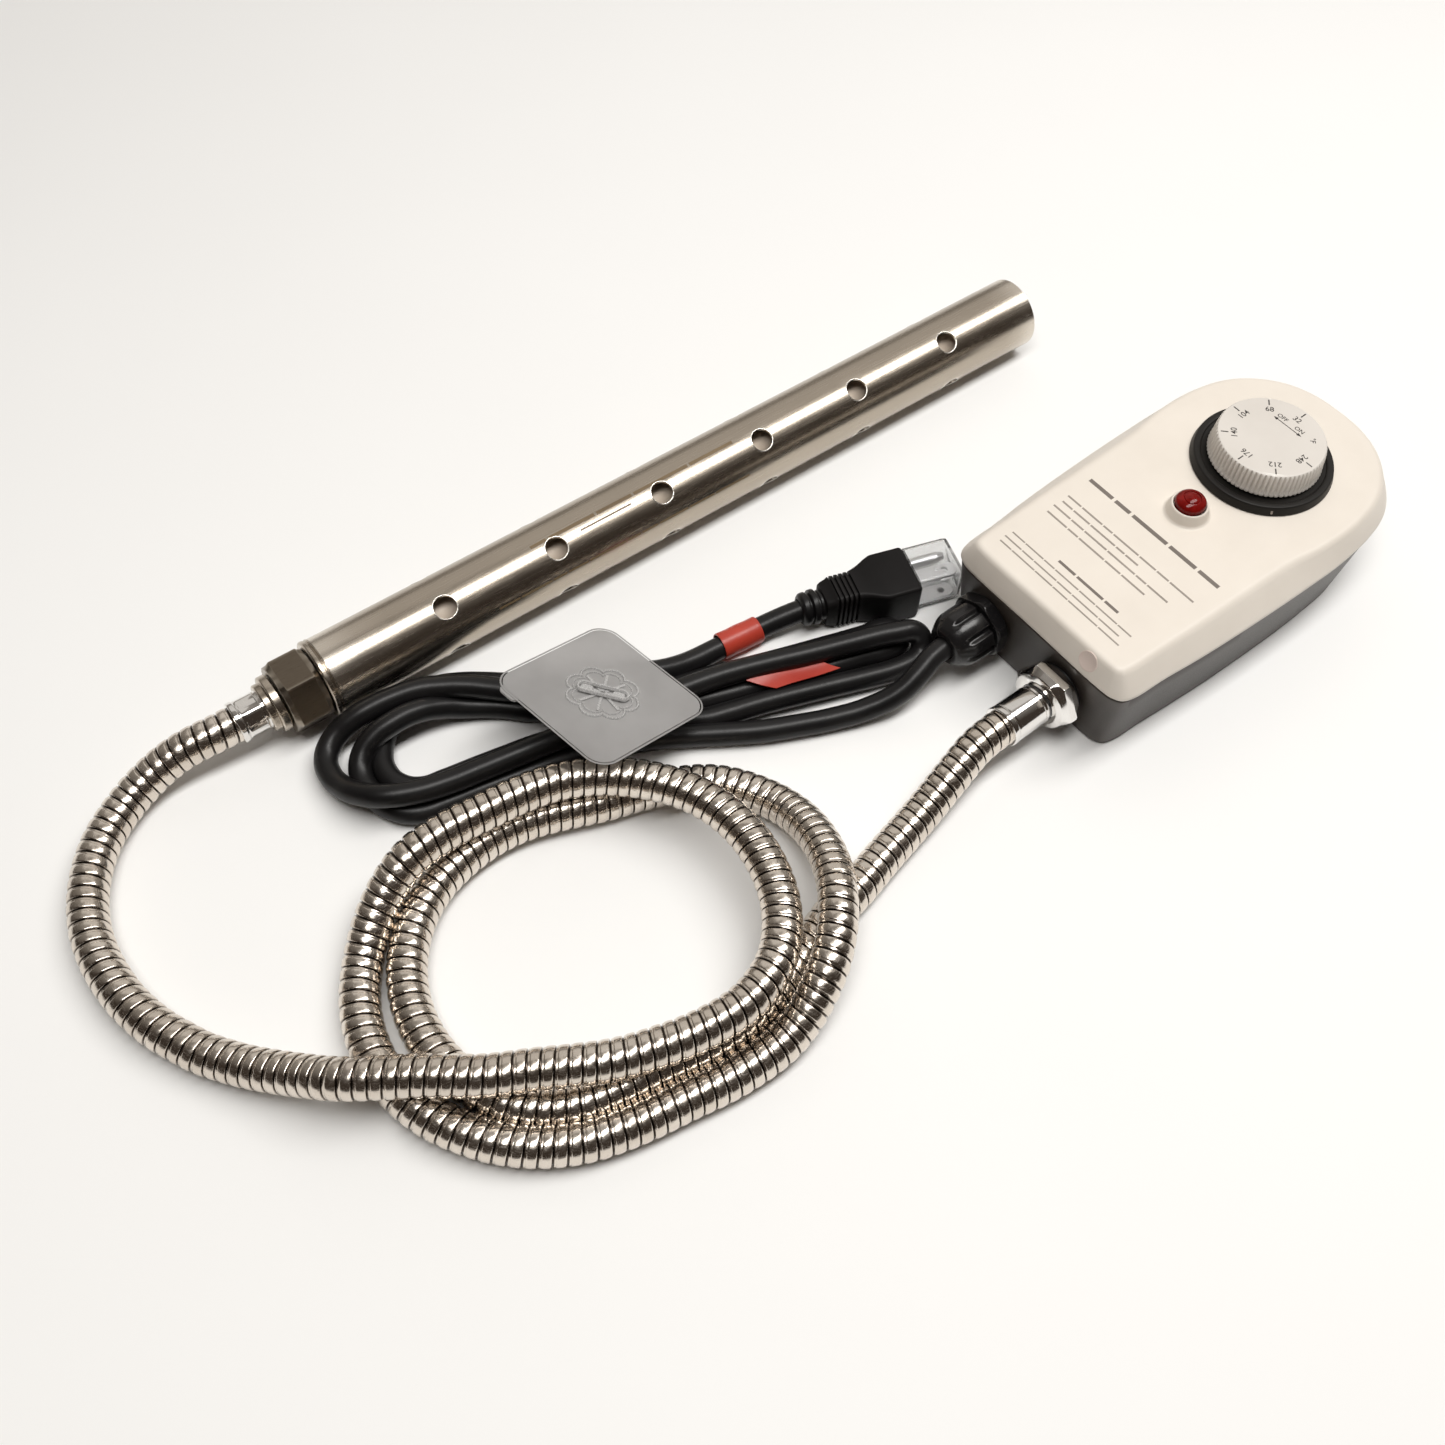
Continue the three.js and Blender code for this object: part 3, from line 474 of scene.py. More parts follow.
def make_metals():
    brushed("titanium", (0.4, 0.345, 0.28), (0.47, 0.41, 0.34), 0.25, (0.3, 5, 5), (0.7, 0.64, 0.56))
    # painted highlight: a lighter copy of the titanium for the bead round each hole
    brushed("painted_highlight_rim", (0.78, 0.73, 0.65), (0.88, 0.84, 0.77), 0.22, (4, 1, 1), (0.95, 0.92, 0.86))
    brushed("dark_steel", (0.125, 0.1, 0.076), (0.175, 0.145, 0.112), 0.3, (1, 6, 6), (0.5, 0.45, 0.38))
    brushed("chrome", (0.72, 0.7, 0.67), (0.88, 0.86, 0.84), 0.1, (8, 1, 1), (0.93, 0.92, 0.9))
    brushed("resistance_wire", (0.3, 0.29, 0.27), (0.46, 0.44, 0.42), 0.45, (1, 8, 8), (0.6, 0.58, 0.55))
    brushed("copper", (0.5, 0.23, 0.11), (0.72, 0.4, 0.23), 0.3, (6, 1, 1), (0.85, 0.6, 0.42))
    brushed("zinc", (0.5, 0.5, 0.52), (0.68, 0.69, 0.71), 0.3, (1, 1, 6), (0.82, 0.82, 0.84))
    brushed("brass", (0.56, 0.42, 0.16), (0.74, 0.6, 0.28), 0.24, (6, 1, 1), (0.88, 0.78, 0.5))
    conduit_steel()


def make_blacks():
    moulded("black_plastic", (0.022, 0.0165, 0.0125), (0.042, 0.0325, 0.026), 0.42, 2200, 0.06,
            (0.12, 0.1, 0.09))
    moulded("gloss_black", (0.0055, 0.0052, 0.0056), (0.011, 0.0105, 0.011), 0.2, 1800, 0.02,
            (0.035, 0.032, 0.032), Specular_IOR_Level=0.4)
    moulded("black_rubber", (0.005, 0.0047, 0.005), (0.011, 0.0103, 0.0105), 0.36, 1500, 0.05,
            Specular_IOR_Level=0.3)
    moulded("bezel_black", (0.008, 0.007, 0.006), (0.013, 0.0115, 0.01), 0.45, 2400, 0.04,
            (0.03, 0.027, 0.025), Specular_IOR_Level=0.22)
    moulded("plug_black", (0.004, 0.0036, 0.0036), (0.008, 0.0073, 0.0073), 0.45, 1900, 0.05,
            (0.02, 0.018, 0.018), Specular_IOR_Level=0.12)


def make_pale_plastics():
    moulded("cream_plastic", (0.735, 0.675, 0.6), (0.775, 0.715, 0.64), 0.46, 2600, 0.05, (0.84, 0.79, 0.72))
    moulded("dial_plastic", (0.62, 0.58, 0.535), (0.67, 0.63, 0.585), 0.4, 2600, 0.04, (0.8, 0.77, 0.72))
    moulded("gate_pink", (0.7, 0.58, 0.52), (0.76, 0.64, 0.58), 0.45, 2600, 0.05)
    moulded("beige_plastic", (0.6, 0.55, 0.46), (0.68, 0.63, 0.54), 0.5, 1800, 0.06)
    moulded("element_beige", (0.62, 0.52, 0.42), (0.74, 0.63, 0.52), 0.45, 900, 0.05)
    moulded("magnesia", (0.74, 0.7, 0.62), (0.82, 0.79, 0.72), 0.85, 2500, 0.15)
    moulded("frosted_edge", (0.58, 0.575, 0.57), (0.7, 0.695, 0.69), 0.25, 1600, 0.04,
            Transmission_Weight=0.4)
    frosted()
    clear_shell()


def make_colours():
    moulded("red_film", (0.36, 0.03, 0.018), (0.48, 0.05, 0.028), 0.36, 900, 0.08)
    moulded("ground_green", (0.03, 0.16, 0.05), (0.05, 0.24, 0.08), 0.4, 1500, 0.05)
    red_lens()


def make_inks():
    moulded("print_ink", (0.02, 0.016, 0.014), (0.04, 0.033, 0.028), 0.5, 3000, 0.01)
    moulded("title_ink", (0.14, 0.118, 0.1), (0.18, 0.152, 0.132), 0.5, 3000, 0.01)
    moulded("pale_ink", (0.27, 0.235, 0.205), (0.32, 0.28, 0.245), 0.5, 3000, 0.01)
    moulded("tube_mark", (0.13, 0.085, 0.04), (0.19, 0.13, 0.065), 0.4, 1500, 0.01)


# ---------------------------------------------------------------- conduit and mains lead
CONDUIT_RADIUS = 7.4
STRIP_PITCH = 4.65
COIL_CENTRE = (-170, -55)
COIL_START, COIL_STEP = 180, 45
COIL_JOINS = (192, 1046)
COIL_REACH = [82, 54, 56, 75, 73, 62, 56, 69, 78, 75, 72, 93, 97, 59, 53, 56, 60, 62, 58, 80, 117]
CONDUIT_LEAD = [
    (-215, 92.3, 16.5), (-225.3, 92.3, 16.5), (-232, 92.4, 16.4), (-239.4, 93.2, 15.8),
    (-247.8, 94, 14.2), (-255.8, 93.9, 12),
    (-263, 92.8, 10), (-271.6, 90.2, 8), (-279.6, 85.8, 7.5), (-286.8, 80.5, 7.4), (-293.5, 73.4, 7.4),
    (-298.9, 65.6, 7.4), (-303.3, 56.8, 7.4), (-306.4, 47.3, 7.4), (-307.9, 37.5, 7.4), (-308.1, 27.6, 7.4),
    (-307.3, 17.7, 7.4), (-305.3, 8.5, 7.4), (-302.4, -0.4, 7.4), (-298.5, -8.6, 7.4), (-294.5, -16.4, 7.4),
    (-289.5, -23.6, 8), (-284.1, -31.1, 9.5), (-272.4, -45.1, 14), (-260.7, -58.2, 20),
]
CONDUIT_TAIL = [
    (-86.2, -101.4, 7.4), (-72.5, -98.6, 7.4), (-56.9, -94.2, 7.5), (-32.5, -88.4, 9), (-12.4, -83.7, 14),
    (0, -81, 17), (13.2, -80.1, 18), (22, -79.8, 18), (31, -79.5, 18),
]


CONDUIT_SIDES = 24
SMOOTHING_PASSES = 6
# one turn of the strip: share of the pitch, rise over the radius, and how much painted shade the sunken seam
# gets there
STRIP = [
    (0.0, -0.9, 1), (0.08, -0.9, 1), (0.1, -0.34, 0.5), (0.13, -0.3, 0), (0.24, -0.28, 0),
    (0.27, -0.08, 0), (0.34, 0, 0), (0.48, 0.05, 0), (0.68, 0.05, 0), (0.84, -0.02, 0),
    (0.92, -0.1, 0), (0.95, -0.35, 0.6), (0.97, -0.8, 1),
]


def coil_lift(angle):
    """How far, in diameters, the coil is raised at an angle over the turns that it crosses."""
    def ease(low, high):
        t = min(1, max(0, (angle - low) / (high - low)))
        return t * t * (3 - 2 * t)
    return 1 - ease(470, 515) + ease(650, 685) - ease(690, 727)


def coil_points():
    reaches = spline([(COIL_START + COIL_STEP * i, reach, 0) for i, reach in enumerate(COIL_REACH)], 3)
    points = []
    for sample in reaches:
        if COIL_JOINS[0] <= sample.x <= COIL_JOINS[1]:
            angle = math.radians(sample.x)
            points.append((
                COIL_CENTRE[0] + sample.y * math.cos(angle),
                COIL_CENTRE[1] + sample.y * math.sin(angle),
                CONDUIT_RADIUS * (1 + 2 * coil_lift(sample.x)),
            ))
    return points


def make_conduit():
    route = CONDUIT_LEAD + coil_points() + CONDUIT_TAIL
    line = evenly(spline(route, 8), 1.0)
    for _ in range(SMOOTHING_PASSES):
        inner = [(a + b * 2 + c) / 4 for a, b, c in zip(line, line[1:], line[2:])]
        line = [line[0]] + inner + [line[-1]]
    sides = frames_along(line)
    turns = int((len(line) - 2) / STRIP_PITCH) - 1
    points, seam_shade_levels = [], []
    for turn in range(turns):
        for share, rise, mark in STRIP:
            for j in range(CONDUIT_SIDES):
                at = (turn + share + j / CONDUIT_SIDES) * STRIP_PITCH
                i = int(at)
                centre = line[i].lerp(line[i + 1], at - i)
                side, up = (sides[i][k].lerp(sides[i + 1][k], at - i) for k in (0, 1))
                angle = TAU * j / CONDUIT_SIDES
                reach = CONDUIT_RADIUS + rise
                points.append(centre + (side * math.cos(angle) + up * math.sin(angle)) * reach)
                seam_shade_levels.append(mark)
    faces = []
    rows = turns * len(STRIP)
    for row in range(rows - 1):
        for j in range(CONDUIT_SIDES):
            next_j, shift = (j + 1, 0) if j < CONDUIT_SIDES - 1 else (0, len(STRIP))
            if row + shift + 1 >= rows:
                continue
            faces.append((
                row * CONDUIT_SIDES + j, (row + shift) * CONDUIT_SIDES + next_j,
                (row + shift + 1) * CONDUIT_SIDES + next_j, (row + 1) * CONDUIT_SIDES + j,
            ))
    mesh = bpy.data.meshes.new("conduit")
    mesh.from_pydata([p * MM for p in points], [], faces)
    # the seam attribute carries how much painted shade each point of the groove gets
    attribute = mesh.attributes.new("seam", "FLOAT", "POINT")
    attribute.data.foreach_set("value", [float(m) for m in seam_shade_levels])
    work = bmesh.new()
    work.from_mesh(mesh)
    bmesh.ops.delete(work, geom=[v for v in work.verts if not v.link_faces], context="VERTS")
    bmesh.ops.holes_fill(work, edges=[e for e in work.edges if e.is_boundary])
    bmesh.ops.recalc_face_normals(work, faces=work.faces)
    work.to_mesh(mesh)
    work.free()
    mesh.shade_smooth()
    mesh.set_sharp_from_angle(angle=math.radians(50))
    conduit = add_object("conduit", mesh)
    finish(conduit, "unit", "conduit_steel", "conduit_steel",
           "conduit_lead", "conduit_coil", "conduit_tail")


CORD_RADIUS = 4.7
CORD_ROUTE = [
    # from the gland along the front of the hank, round the middle left loop and back
    (27, -38.2, 18), (20.2, -38.4, 18), (13, -39.3, 17.6), (5, -41.2, 15.3), (-4, -41.7, 11.3),
    (-17, -38.3, 6.6), (-31, -33.1, 4.8), (-44.4, -27.5, 4.8), (-57.5, -21.4, 4.8), (-69.7, -14.2, 4.8),
    (-81.7, -6.8, 4.8), (-94, 0.2, 4.8), (-107, 6, 4.8), (-120.9, 10.6, 4.8), (-134, 14, 4.8),
    (-147.6, 16.6, 4.8), (-160.7, 19.3, 4.8), (-174, 21.6, 4.8), (-185.5, 24.6, 4.8), (-193, 32, 4.8),
    (-196, 42, 4.8), (-195.3, 51, 5.5), (-191, 57, 8), (-184, 59.6, 11.5), (-175, 59.8, 13.8),
    (-166, 59.6, 13.3), (-156.5, 58.4, 10), (-146.5, 55, 6), (-135.3, 48.2, 4.8), (-125.9, 39.5, 4.8),
    (-114, 30.8, 4.8), (-101, 22, 4.8), (-87, 13.5, 4.8), (-73, 6.3, 4.8), (-58, 0.5, 4.8),
    (-43, -4.2, 4.8), (-29, -8.6, 4.8), (-14.5, -12.9, 4.8), (-2, -16.4, 4.8), (8, -19.6, 4.8),
    # inner fold beside the gland, then under the upper strand to the rear and the inner left loop
    (12.6, -19.9, 4.8), (15.8, -18.4, 4.8), (17.2, -15, 4.8), (15.8, -11.6, 4.8), (12, -9.7, 4.8),
    (6.5, -8.9, 4.8), (-2, -6.6, 4.8),
    (-14, -3, 4.8), (-29, 1.5, 4.8), (-43, 6, 4.8), (-58, 11, 4.8), (-70, 15, 4.8), (-83, 22, 4.8),
    (-96, 31.5, 4.8), (-108, 41, 4.8), (-118, 49.3, 4.8), (-128, 56.4, 4.8), (-135, 61.8, 4.8),
    (-142, 66.5, 4.8), (-150, 70.3, 4.8), (-159, 71.5, 4.8), (-168.5, 69, 4.8), (-177, 63.5, 4.8),
    (-183.8, 56, 4.8), (-186.8, 47, 4.8), (-185, 38.7, 4.8), (-179, 33, 4.8), (-170, 30.9, 4.8),
    (-157, 28.7, 4.8), (-144, 26.3, 4.8), (-131, 23.6, 4.8), (-119, 19.8, 4.8), (-107, 15, 4.8),
    (-95, 9.4, 4.8), (-83, 2.7, 4.8), (-71.7, -4.1, 5), (-64.2, -7, 5.6), (-50.1, -11.6, 6.4),
    (-35.9, -16.4, 6.4), (-21.5, -21.2, 6), (-7, -26, 5.5), (3, -28.8, 5), (10, -30, 5),
    # outer fold up over the inner one, and the upper strand along the top of the hank
    (14, -30, 5), (17.6, -29.3, 5.7), (19.9, -27.7, 7.4), (20.7, -25.6, 9.6), (19.9, -23.5, 11.8),
    (17.6, -21.9, 13.5), (14, -20.7, 14.1), (8.1, -18, 14),
    (-6.3, -12.8, 13.4), (-20.9, -7.9, 13.2), (-40.7, -0.9, 13.2), (-56, 4, 13.2), (-72.2, 7.6, 13.4),
    (-87, 9.6, 13.8), (-101, 12, 14), (-116, 14.6, 14), (-131.3, 17.6, 14), (-144.8, 19.8, 14),
    (-158.2, 21.9, 14), (-171.4, 24.1, 14), (-183.8, 27.5, 14.2), (-194.5, 33, 14.2), (-201.1, 41.4, 11),
    (-204.2, 50.2, 7.5), (-204.8, 58.6, 6), (-202.9, 64.9, 6), (-198.9, 69, 7), (-193.6, 71, 9),
    (-187.5, 71, 12), (-180.8, 70.4, 14), (-166.9, 69.1, 14.2), (-158, 66.9, 14), (-151.5, 63.6, 14),
    (-143.4, 58.3, 14), (-135.9, 51.9, 13.8), (-131, 47.5, 13.8), (-121, 41.2, 14), (-110, 35.8, 14.2),
    (-98, 30.5, 14.2), (-86, 25.6, 13), (-77, 22.8, 10.5), (-70.2, 21.6, 8.6), (-61.8, 20.9, 6.8),
    (-50.4, 20.4, 6), (-38.3, 19.6, 6), (-25.5, 18.2, 6.5), (-17, 16.3, 8), (-9, 13.9, 9.5), (0, 11.2, 9.7),
]


def make_cord():
    data = bpy.data.curves.new("mains_lead", "CURVE")
    data.dimensions = "3D"
    data.bevel_depth = CORD_RADIUS * MM
    data.bevel_resolution = 7
    data.use_fill_caps = True
    data.resolution_u = 6
    track = data.splines.new("BEZIER")
    track.bezier_points.add(len(CORD_ROUTE) - 1)
    for knot, place in zip(track.bezier_points, CORD_ROUTE):
        knot.co = Vector(place) * MM
        knot.handle_left_type = knot.handle_right_type = "AUTO"
    cord = add_object("mains_lead", data)
    finish(cord, "unit", "black_rubber", "black_rubber",
           "cord_from_gland", "cord_hank", "cord_to_plug")


# ---------------------------------------------------------------- heater
TUBE_LEFT, TUBE_RIGHT, TUBE_RADIUS, TUBE_WALL = -186, 175, 16, 1.2
HOLE_RADIUS, HOLE_FIRST, HOLE_PITCH, HOLE_COUNT, HOLE_TURN = 4.9, -134.7, 52.1, 6, 29.4


def make_guard_tube():
    """The perforated tube as one grid over its unrolled surface, with a round hole in each square cell."""
    half, parts = 7.0, 8
    half_turn = half / TUBE_RADIUS
    lines_x = [TUBE_LEFT, -170, -156, -145]
    for i in range(HOLE_COUNT):
        centre = HOLE_FIRST + i * HOLE_PITCH
        lines_x += [centre - half + 2 * half * k / parts for k in range(parts + 1)]
        lines_x += [centre + HOLE_PITCH * share for share in (0.25, 0.4, 0.5, 0.6, 0.75)]
    lines_x = [x for x in lines_x if x < TUBE_RIGHT] + [TUBE_RIGHT]
    turns = []
    for quarter in range(4):
        centre = math.radians(HOLE_TURN) + quarter * math.pi / 2
        turns += [centre - half_turn + 2 * half_turn * k / parts for k in range(parts + 1)]
        spare = math.pi / 2 - 2 * half_turn
        turns += [centre + half_turn + spare * k / 6 for k in range(1, 6)]
    points, found, faces = [], {}, []

    def vertex(x, angle, radius):
        key = (round(x, 4), round(angle % TAU, 5) % round(TAU, 5), radius)
        if key not in found:
            found[key] = len(points)
            points.append((x, radius * math.cos(angle), radius * math.sin(angle)))
        return found[key]

    def patch(corners, radius):
        faces.append([vertex(x, angle, radius) for x, angle in corners])

    cells = [(HOLE_FIRST + i * HOLE_PITCH, math.radians(HOLE_TURN) + q * math.pi / 2)
             for i in range(HOLE_COUNT) for q in range(4)]
    inner = TUBE_RADIUS - TUBE_WALL
    for x0, x1 in zip(lines_x, lines_x[1:]):
        for t0, t1 in zip(turns, turns[1:] + [turns[0] + TAU]):
            mid_x, mid_t = (x0 + x1) / 2, (t0 + t1) / 2
            if any(abs(mid_x - cx) < half and abs(mid_t - ct) < half_turn for cx, ct in cells):
                continue
            for radius in (TUBE_RADIUS, inner):
                patch([(x0, t0), (x1, t0), (x1, t1), (x0, t1)], radius)
    for t0, t1 in zip(turns, turns[1:] + [turns[0] + TAU]):
        for x in (TUBE_LEFT, TUBE_RIGHT):
            faces.append([vertex(x, t0, TUBE_RADIUS), vertex(x, t1, TUBE_RADIUS),
                          vertex(x, t1, inner), vertex(x, t0, inner)])
    run = [-1 + 2 * k / parts for k in range(parts)]
    rim = [(s, -1) for s in run] + [(1, s) for s in run] + [(-s, 1) for s in run] + [(-1, -s) for s in run]
    edge = [
        (0, TUBE_RADIUS), (0.55, TUBE_RADIUS), (0.94, TUBE_RADIUS), (1, TUBE_RADIUS - 0.3),
        (1, inner), (0.55, inner), (0, inner),
    ]
    for cx, ct in cells:
        loops = []
        for share, radius in edge:
            loop = []
            for u, v in rim:
                size = math.hypot(u, v)
                hole_u, hole_v = HOLE_RADIUS * u / size, HOLE_RADIUS * v / size
                du, dv = u * half * (1 - share) + hole_u * share, v * half * (1 - share) + hole_v * share
                loop.append(vertex(cx + du, ct + dv / TUBE_RADIUS, radius))
            loops.append(loop)
        faces += rings_to_faces(loops)
    tube = mesh_object("guard_tube_shell", points, faces, HEATER, 30)
    finish(tube, "unit", "titanium", "titanium", "guard_tube")


def make_hole_rims():
    """The bright ring round each hole, as one piece: a bead coloured lighter than the tube, a painted
    highlight on the hole edges.
    """
    points, faces = [], []
    around, thick = 40, 8
    for i in range(HOLE_COUNT):
        for quarter in range(4):
            centre = math.radians(HOLE_TURN) + quarter * math.pi / 2
            rings = []
            for j in range(around):
                turn = TAU * j / around
                rings.append(range(len(points), len(points) + thick))
                for k in range(thick):
                    bead = TAU * k / thick
                    reach = HOLE_RADIUS + 0.12 + 0.3 * math.cos(bead)
                    x = HOLE_FIRST + i * HOLE_PITCH + reach * math.cos(turn)
                    angle = centre + reach * math.sin(turn) / TUBE_RADIUS
                    radius = TUBE_RADIUS - 0.14 + 0.24 * math.sin(bead)
                    points.append((x, radius * math.cos(angle), radius * math.sin(angle)))
            faces += rings_to_faces(rings, True)
    # the bead round each hole takes the painted highlight colour
    finish(mesh_object("hole_rims", points, faces, HEATER, 60), "unit", "titanium", "painted_highlight_rim")


def make_heater():
    make_guard_tube()
    make_hole_rims()
    axis = HEATER @ ALONG_X
    collar = [
        [8.3, -189.6], [15.6, -189.6], [16.3, -189], [16.3, -187.6], [15.7, -187.2], [15.7, -186.8],
        [16.3, -186.5], [16.3, -186.3], [14.5, -186.3], [14.5, -181], [8.3, -181], [8.3, -189.6],
    ]
    finish(turned("tube_end_collar", softened(collar, 0.2), axis), "unit", "titanium", "titanium",
           "end_collar")
    hexagonal = [
        [5.6, -206], [13.9, -206], [16.2, -203.6], [16.2, -192.4], [13.9, -190], [5.6, -190], [5.6, -206],
    ]
    hex_body = turned("hex_head", softened(hexagonal, 0.3), axis, 192, hexagon(28), 24)
    finish(hex_body, "unit", "dark_steel", "dark_steel", "hex_fitting")
    stepped = [
        [3, -213], [9.5, -213], [9.9, -212.6], [9.9, -210.4], [11.4, -210.1], [11.8, -209.7],
        [11.8, -206.9], [11.4, -206.5], [3, -206.5], [3, -213],
    ]
    finish(turned("stepped_collar", softened(stepped, 0.2), axis), "unit", "dark_steel", "titanium",
           "compression_collar")
    finish(ferrule("heater_end_ferrule", -225, 13.5, 8.5, axis, 0.9), "unit", "chrome", "chrome",
           "heater_ferrule")
    sheath = [[7.1, -184], [8, -184], [8, 150]]
    for degrees in (15, 30, 45, 60, 75):
        angle = math.radians(degrees)
        sheath.append([8 * math.cos(angle), 150 + 8 * math.sin(angle)])
    sheath += [[0, 158], [0, 152], [7.1, 150], [7.1, -184]]
    finish(turned("element_tube", sheath, axis, 64), "unit", "titanium", "element_beige", "element_sheath")


def ferrule(name, left, length, radius, place, press):
    """A sleeve with six flats pressed into its middle."""
    right = left + length
    profile = [
        [3, left], [radius - 0.3, left], [radius, left + 0.4], [radius, left + 2.2],
        [radius - 0.5, left + 2.8], [radius - 0.2, left + 3.4], [radius - 0.2, right - 3],
        [radius - 0.6, right - 2.4], [radius - 0.4, right - 1.4], [radius - 1, right], [3, right], [3, left],
    ]

    def pressed(r, z, angle):
        inside = min(1, max(0, min(z - left - 3, right - 2.6 - z)))
        side = (angle + math.pi / 6) % (math.pi / 3) - math.pi / 6
        flat = (radius - press) / math.cos(side)
        return min(r, flat) * inside + r * (1 - inside) if r > 4 else r
    return turned(name, softened(profile, 0.25), place, 144, pressed, 28)


# ---------------------------------------------------------------- controller
FOOT_OUTLINE = [
    (-122.6, 0), (-122.6, 33), (-121.9, 38), (-119.8, 41.4), (-115.5, 43), (-100, 43.9), (-84, 45),
    (-65, 46), (-46, 46.5), (-26, 46.7), (-5, 46.2), (14, 44.6), (27.5, 40), (37.4, 32.6), (44.3, 23),
    (48, 11.7), (48.9, 0),
]
RIM_OUTLINE = [
    (-127, 0), (-127, 36), (-126.2, 41), (-124, 44.6), (-119.5, 46.4), (-103, 47.4), (-85, 49),
    (-66, 50.1), (-46, 50.9), (-26, 51.4), (-5, 51.4), (15, 49.4), (29.3, 45.4), (40.6, 37.4), (48.6, 26.4),
    (52.7, 13.6), (53.8, 0),
]
TOP_OUTLINE = [
    (-124, 0), (-124, 34), (-123.5, 37.4), (-122, 39.4), (-118.5, 40.3), (-102, 41), (-85, 41.6),
    (-66, 42), (-46, 42.4), (-30, 43.2), (-14, 45.6), (6, 45.7), (23.4, 41.9), (34.8, 35.4), (44.3, 24.6),
    (49, 12.7), (50.1, 0),
]
COVER_LOW, COVER_BAND, COVER_TOP = 37.4, 39.4, 49.8
LAMP = CONTROLLER @ Matrix.Translation((-44.5, 0, 0))


def make_cover():
    rim, top = outline(RIM_OUTLINE, 6), outline(TOP_OUTLINE, 6)
    shoulder = 0.8
    edge = blend_loops(rim, top, shoulder)
    levels = [
        (inset(rim, 2.4), COVER_LOW + 0.2), (inset(rim, 0.5), COVER_LOW), (inset(rim, 0.1), COVER_LOW + 0.2),
        (rim, COVER_LOW + 0.6), (rim, COVER_BAND - 0.4), (inset(rim, 0.15), COVER_BAND),
    ]
    rise = COVER_TOP - COVER_BAND
    levels += [(blend_loops(rim, top, t), COVER_BAND + rise * t) for t in (0.12, 0.3, 0.5)]
    start_z = COVER_BAND + rise * shoulder
    flat = inset(top, 2.4)
    for i in range(9):
        t = i / 8
        loop = [tuple(curve_at(a, b, c, t) for a, b, c in zip(*trio))
                for trio in zip(edge, inset(top, 0.2), flat)]
        levels.append((loop, curve_at(start_z, COVER_TOP, COVER_TOP, t)))
    centre = (flat[0][0] + flat[len(flat) // 2][0]) / 2
    levels.append(([(centre + (x - centre) * 0.96, y * 0.9) for x, y in flat], COVER_TOP))
    cover = lofted("cover_shell", levels, CONTROLLER, 26)
    finish(cover, "unit", "cream_plastic", "cream_plastic", "cover")
    collar = [
        [6.6, 46], [6.6, 54.6], [6.9, 55], [7.2, 55.05], [7.6, 54.7], [8.2, 52.4], [8.7, 50.6], [9.4, 49.9],
        [10.4, 49.7], [10.4, 46], [6.6, 46],
    ]
    ring = turned("lamp_collar", softened(collar, 0.3), LAMP)
    finish(ring, "unit", "cream_plastic", "cream_plastic")


def make_mould_mark():
    """The faint round gate mark on the cover's front face."""
    lean = math.atan2(COVER_TOP - COVER_BAND, 3)
    place = (
        CONTROLLER @ Matrix.Translation((-125.6, -26.2, 44.6)) @ Matrix.Rotation(math.pi / 2 - lean, 4, "Y")
        @ Matrix.Rotation(-math.pi / 2, 4, "Y")
    )
    profile = [[0, -0.5], [4.3, -0.5], [4.3, 0.2], [4, 0.3], [3.8, 0.22], [0, 0.2]]
    finish(turned("gate_mark", profile, place, 48), "unit", "cream_plastic", "gate_pink")


def make_base():
    foot, rim = outline(FOOT_OUTLINE, 6), inset(outline(RIM_OUTLINE, 6), 0.8)
    levels = [(inset(foot, 1.2), 0), (inset(foot, 0.4), 0.3), (foot, 1.1)]
    levels += [(blend_loops(foot, rim, t), 1.1 + 34 * t) for t in (0.2, 0.4, 0.6, 0.8)]
    levels += [(rim, 35.4), (inset(rim, 0.3), 36), (inset(rim, 1.4), 36.2)]
    finish(lofted("base_shell", levels, CONTROLLER), "unit", "black_plastic", "black_plastic",
           "base_housing")
    seam = inset(outline(RIM_OUTLINE, 6), 1.0)
    finish(slab("gasket_band", seam, 36.3, 37.3, CONTROLLER, 0.2), "unit", "black_rubber",
           "black_rubber", "gasket")


def make_bezel():
    profile = [
        [7.6, 50.1], [29.3, 50.1], [29.3, 50.6], [28.5, 53.5], [28.1, 54], [26.2, 54], [25.6, 53.8],
        [25.4, 53.3], [7.6, 53.3], [7.6, 50.1],
    ]
    finish(turned("bezel", softened(profile, 0.35), CONTROLLER, 192), "unit", "gloss_black", "bezel_black",
           "bezel_ring")
    turn = Matrix.Rotation(math.radians(-131.5), 4, "Z")
    lean = Matrix.Rotation(math.radians(-20), 4, "Y")
    place = CONTROLLER @ turn @ Matrix.Translation((28.72, 0, 52.3)) @ ALONG_X @ lean
    index = slab("index_notch", rounded_box(2.6, 0.8, 0.3), -0.1, 0.12, place, 0.05)
    finish(index, "unit", "gloss_black", "pale_ink")


def make_lens():
    profile = [[0, 47], [5.7, 47], [5.7, 54.2], [6.2, 54.4], [6.25, 55.6]]
    for degrees in (12, 25, 38, 50):
        angle = math.radians(degrees)
        profile.append([6.3 * math.cos(angle), 55.8 + 3.1 * math.sin(angle)])
    profile += [[3.7, 58.3], [3.5, 57.9], [3.2, 57.9], [3, 58.3], [2, 58.75], [1, 58.92], [0, 59]]
    finish(turned("lamp_lens", profile, LAMP, 96), "unit", "red_lens", "red_lens", "indicator_lens")


RIBS = 72
GRIP_RADIUS = 21.4
KNOB_LOW, KNOB_HIGH = 54.4, 65


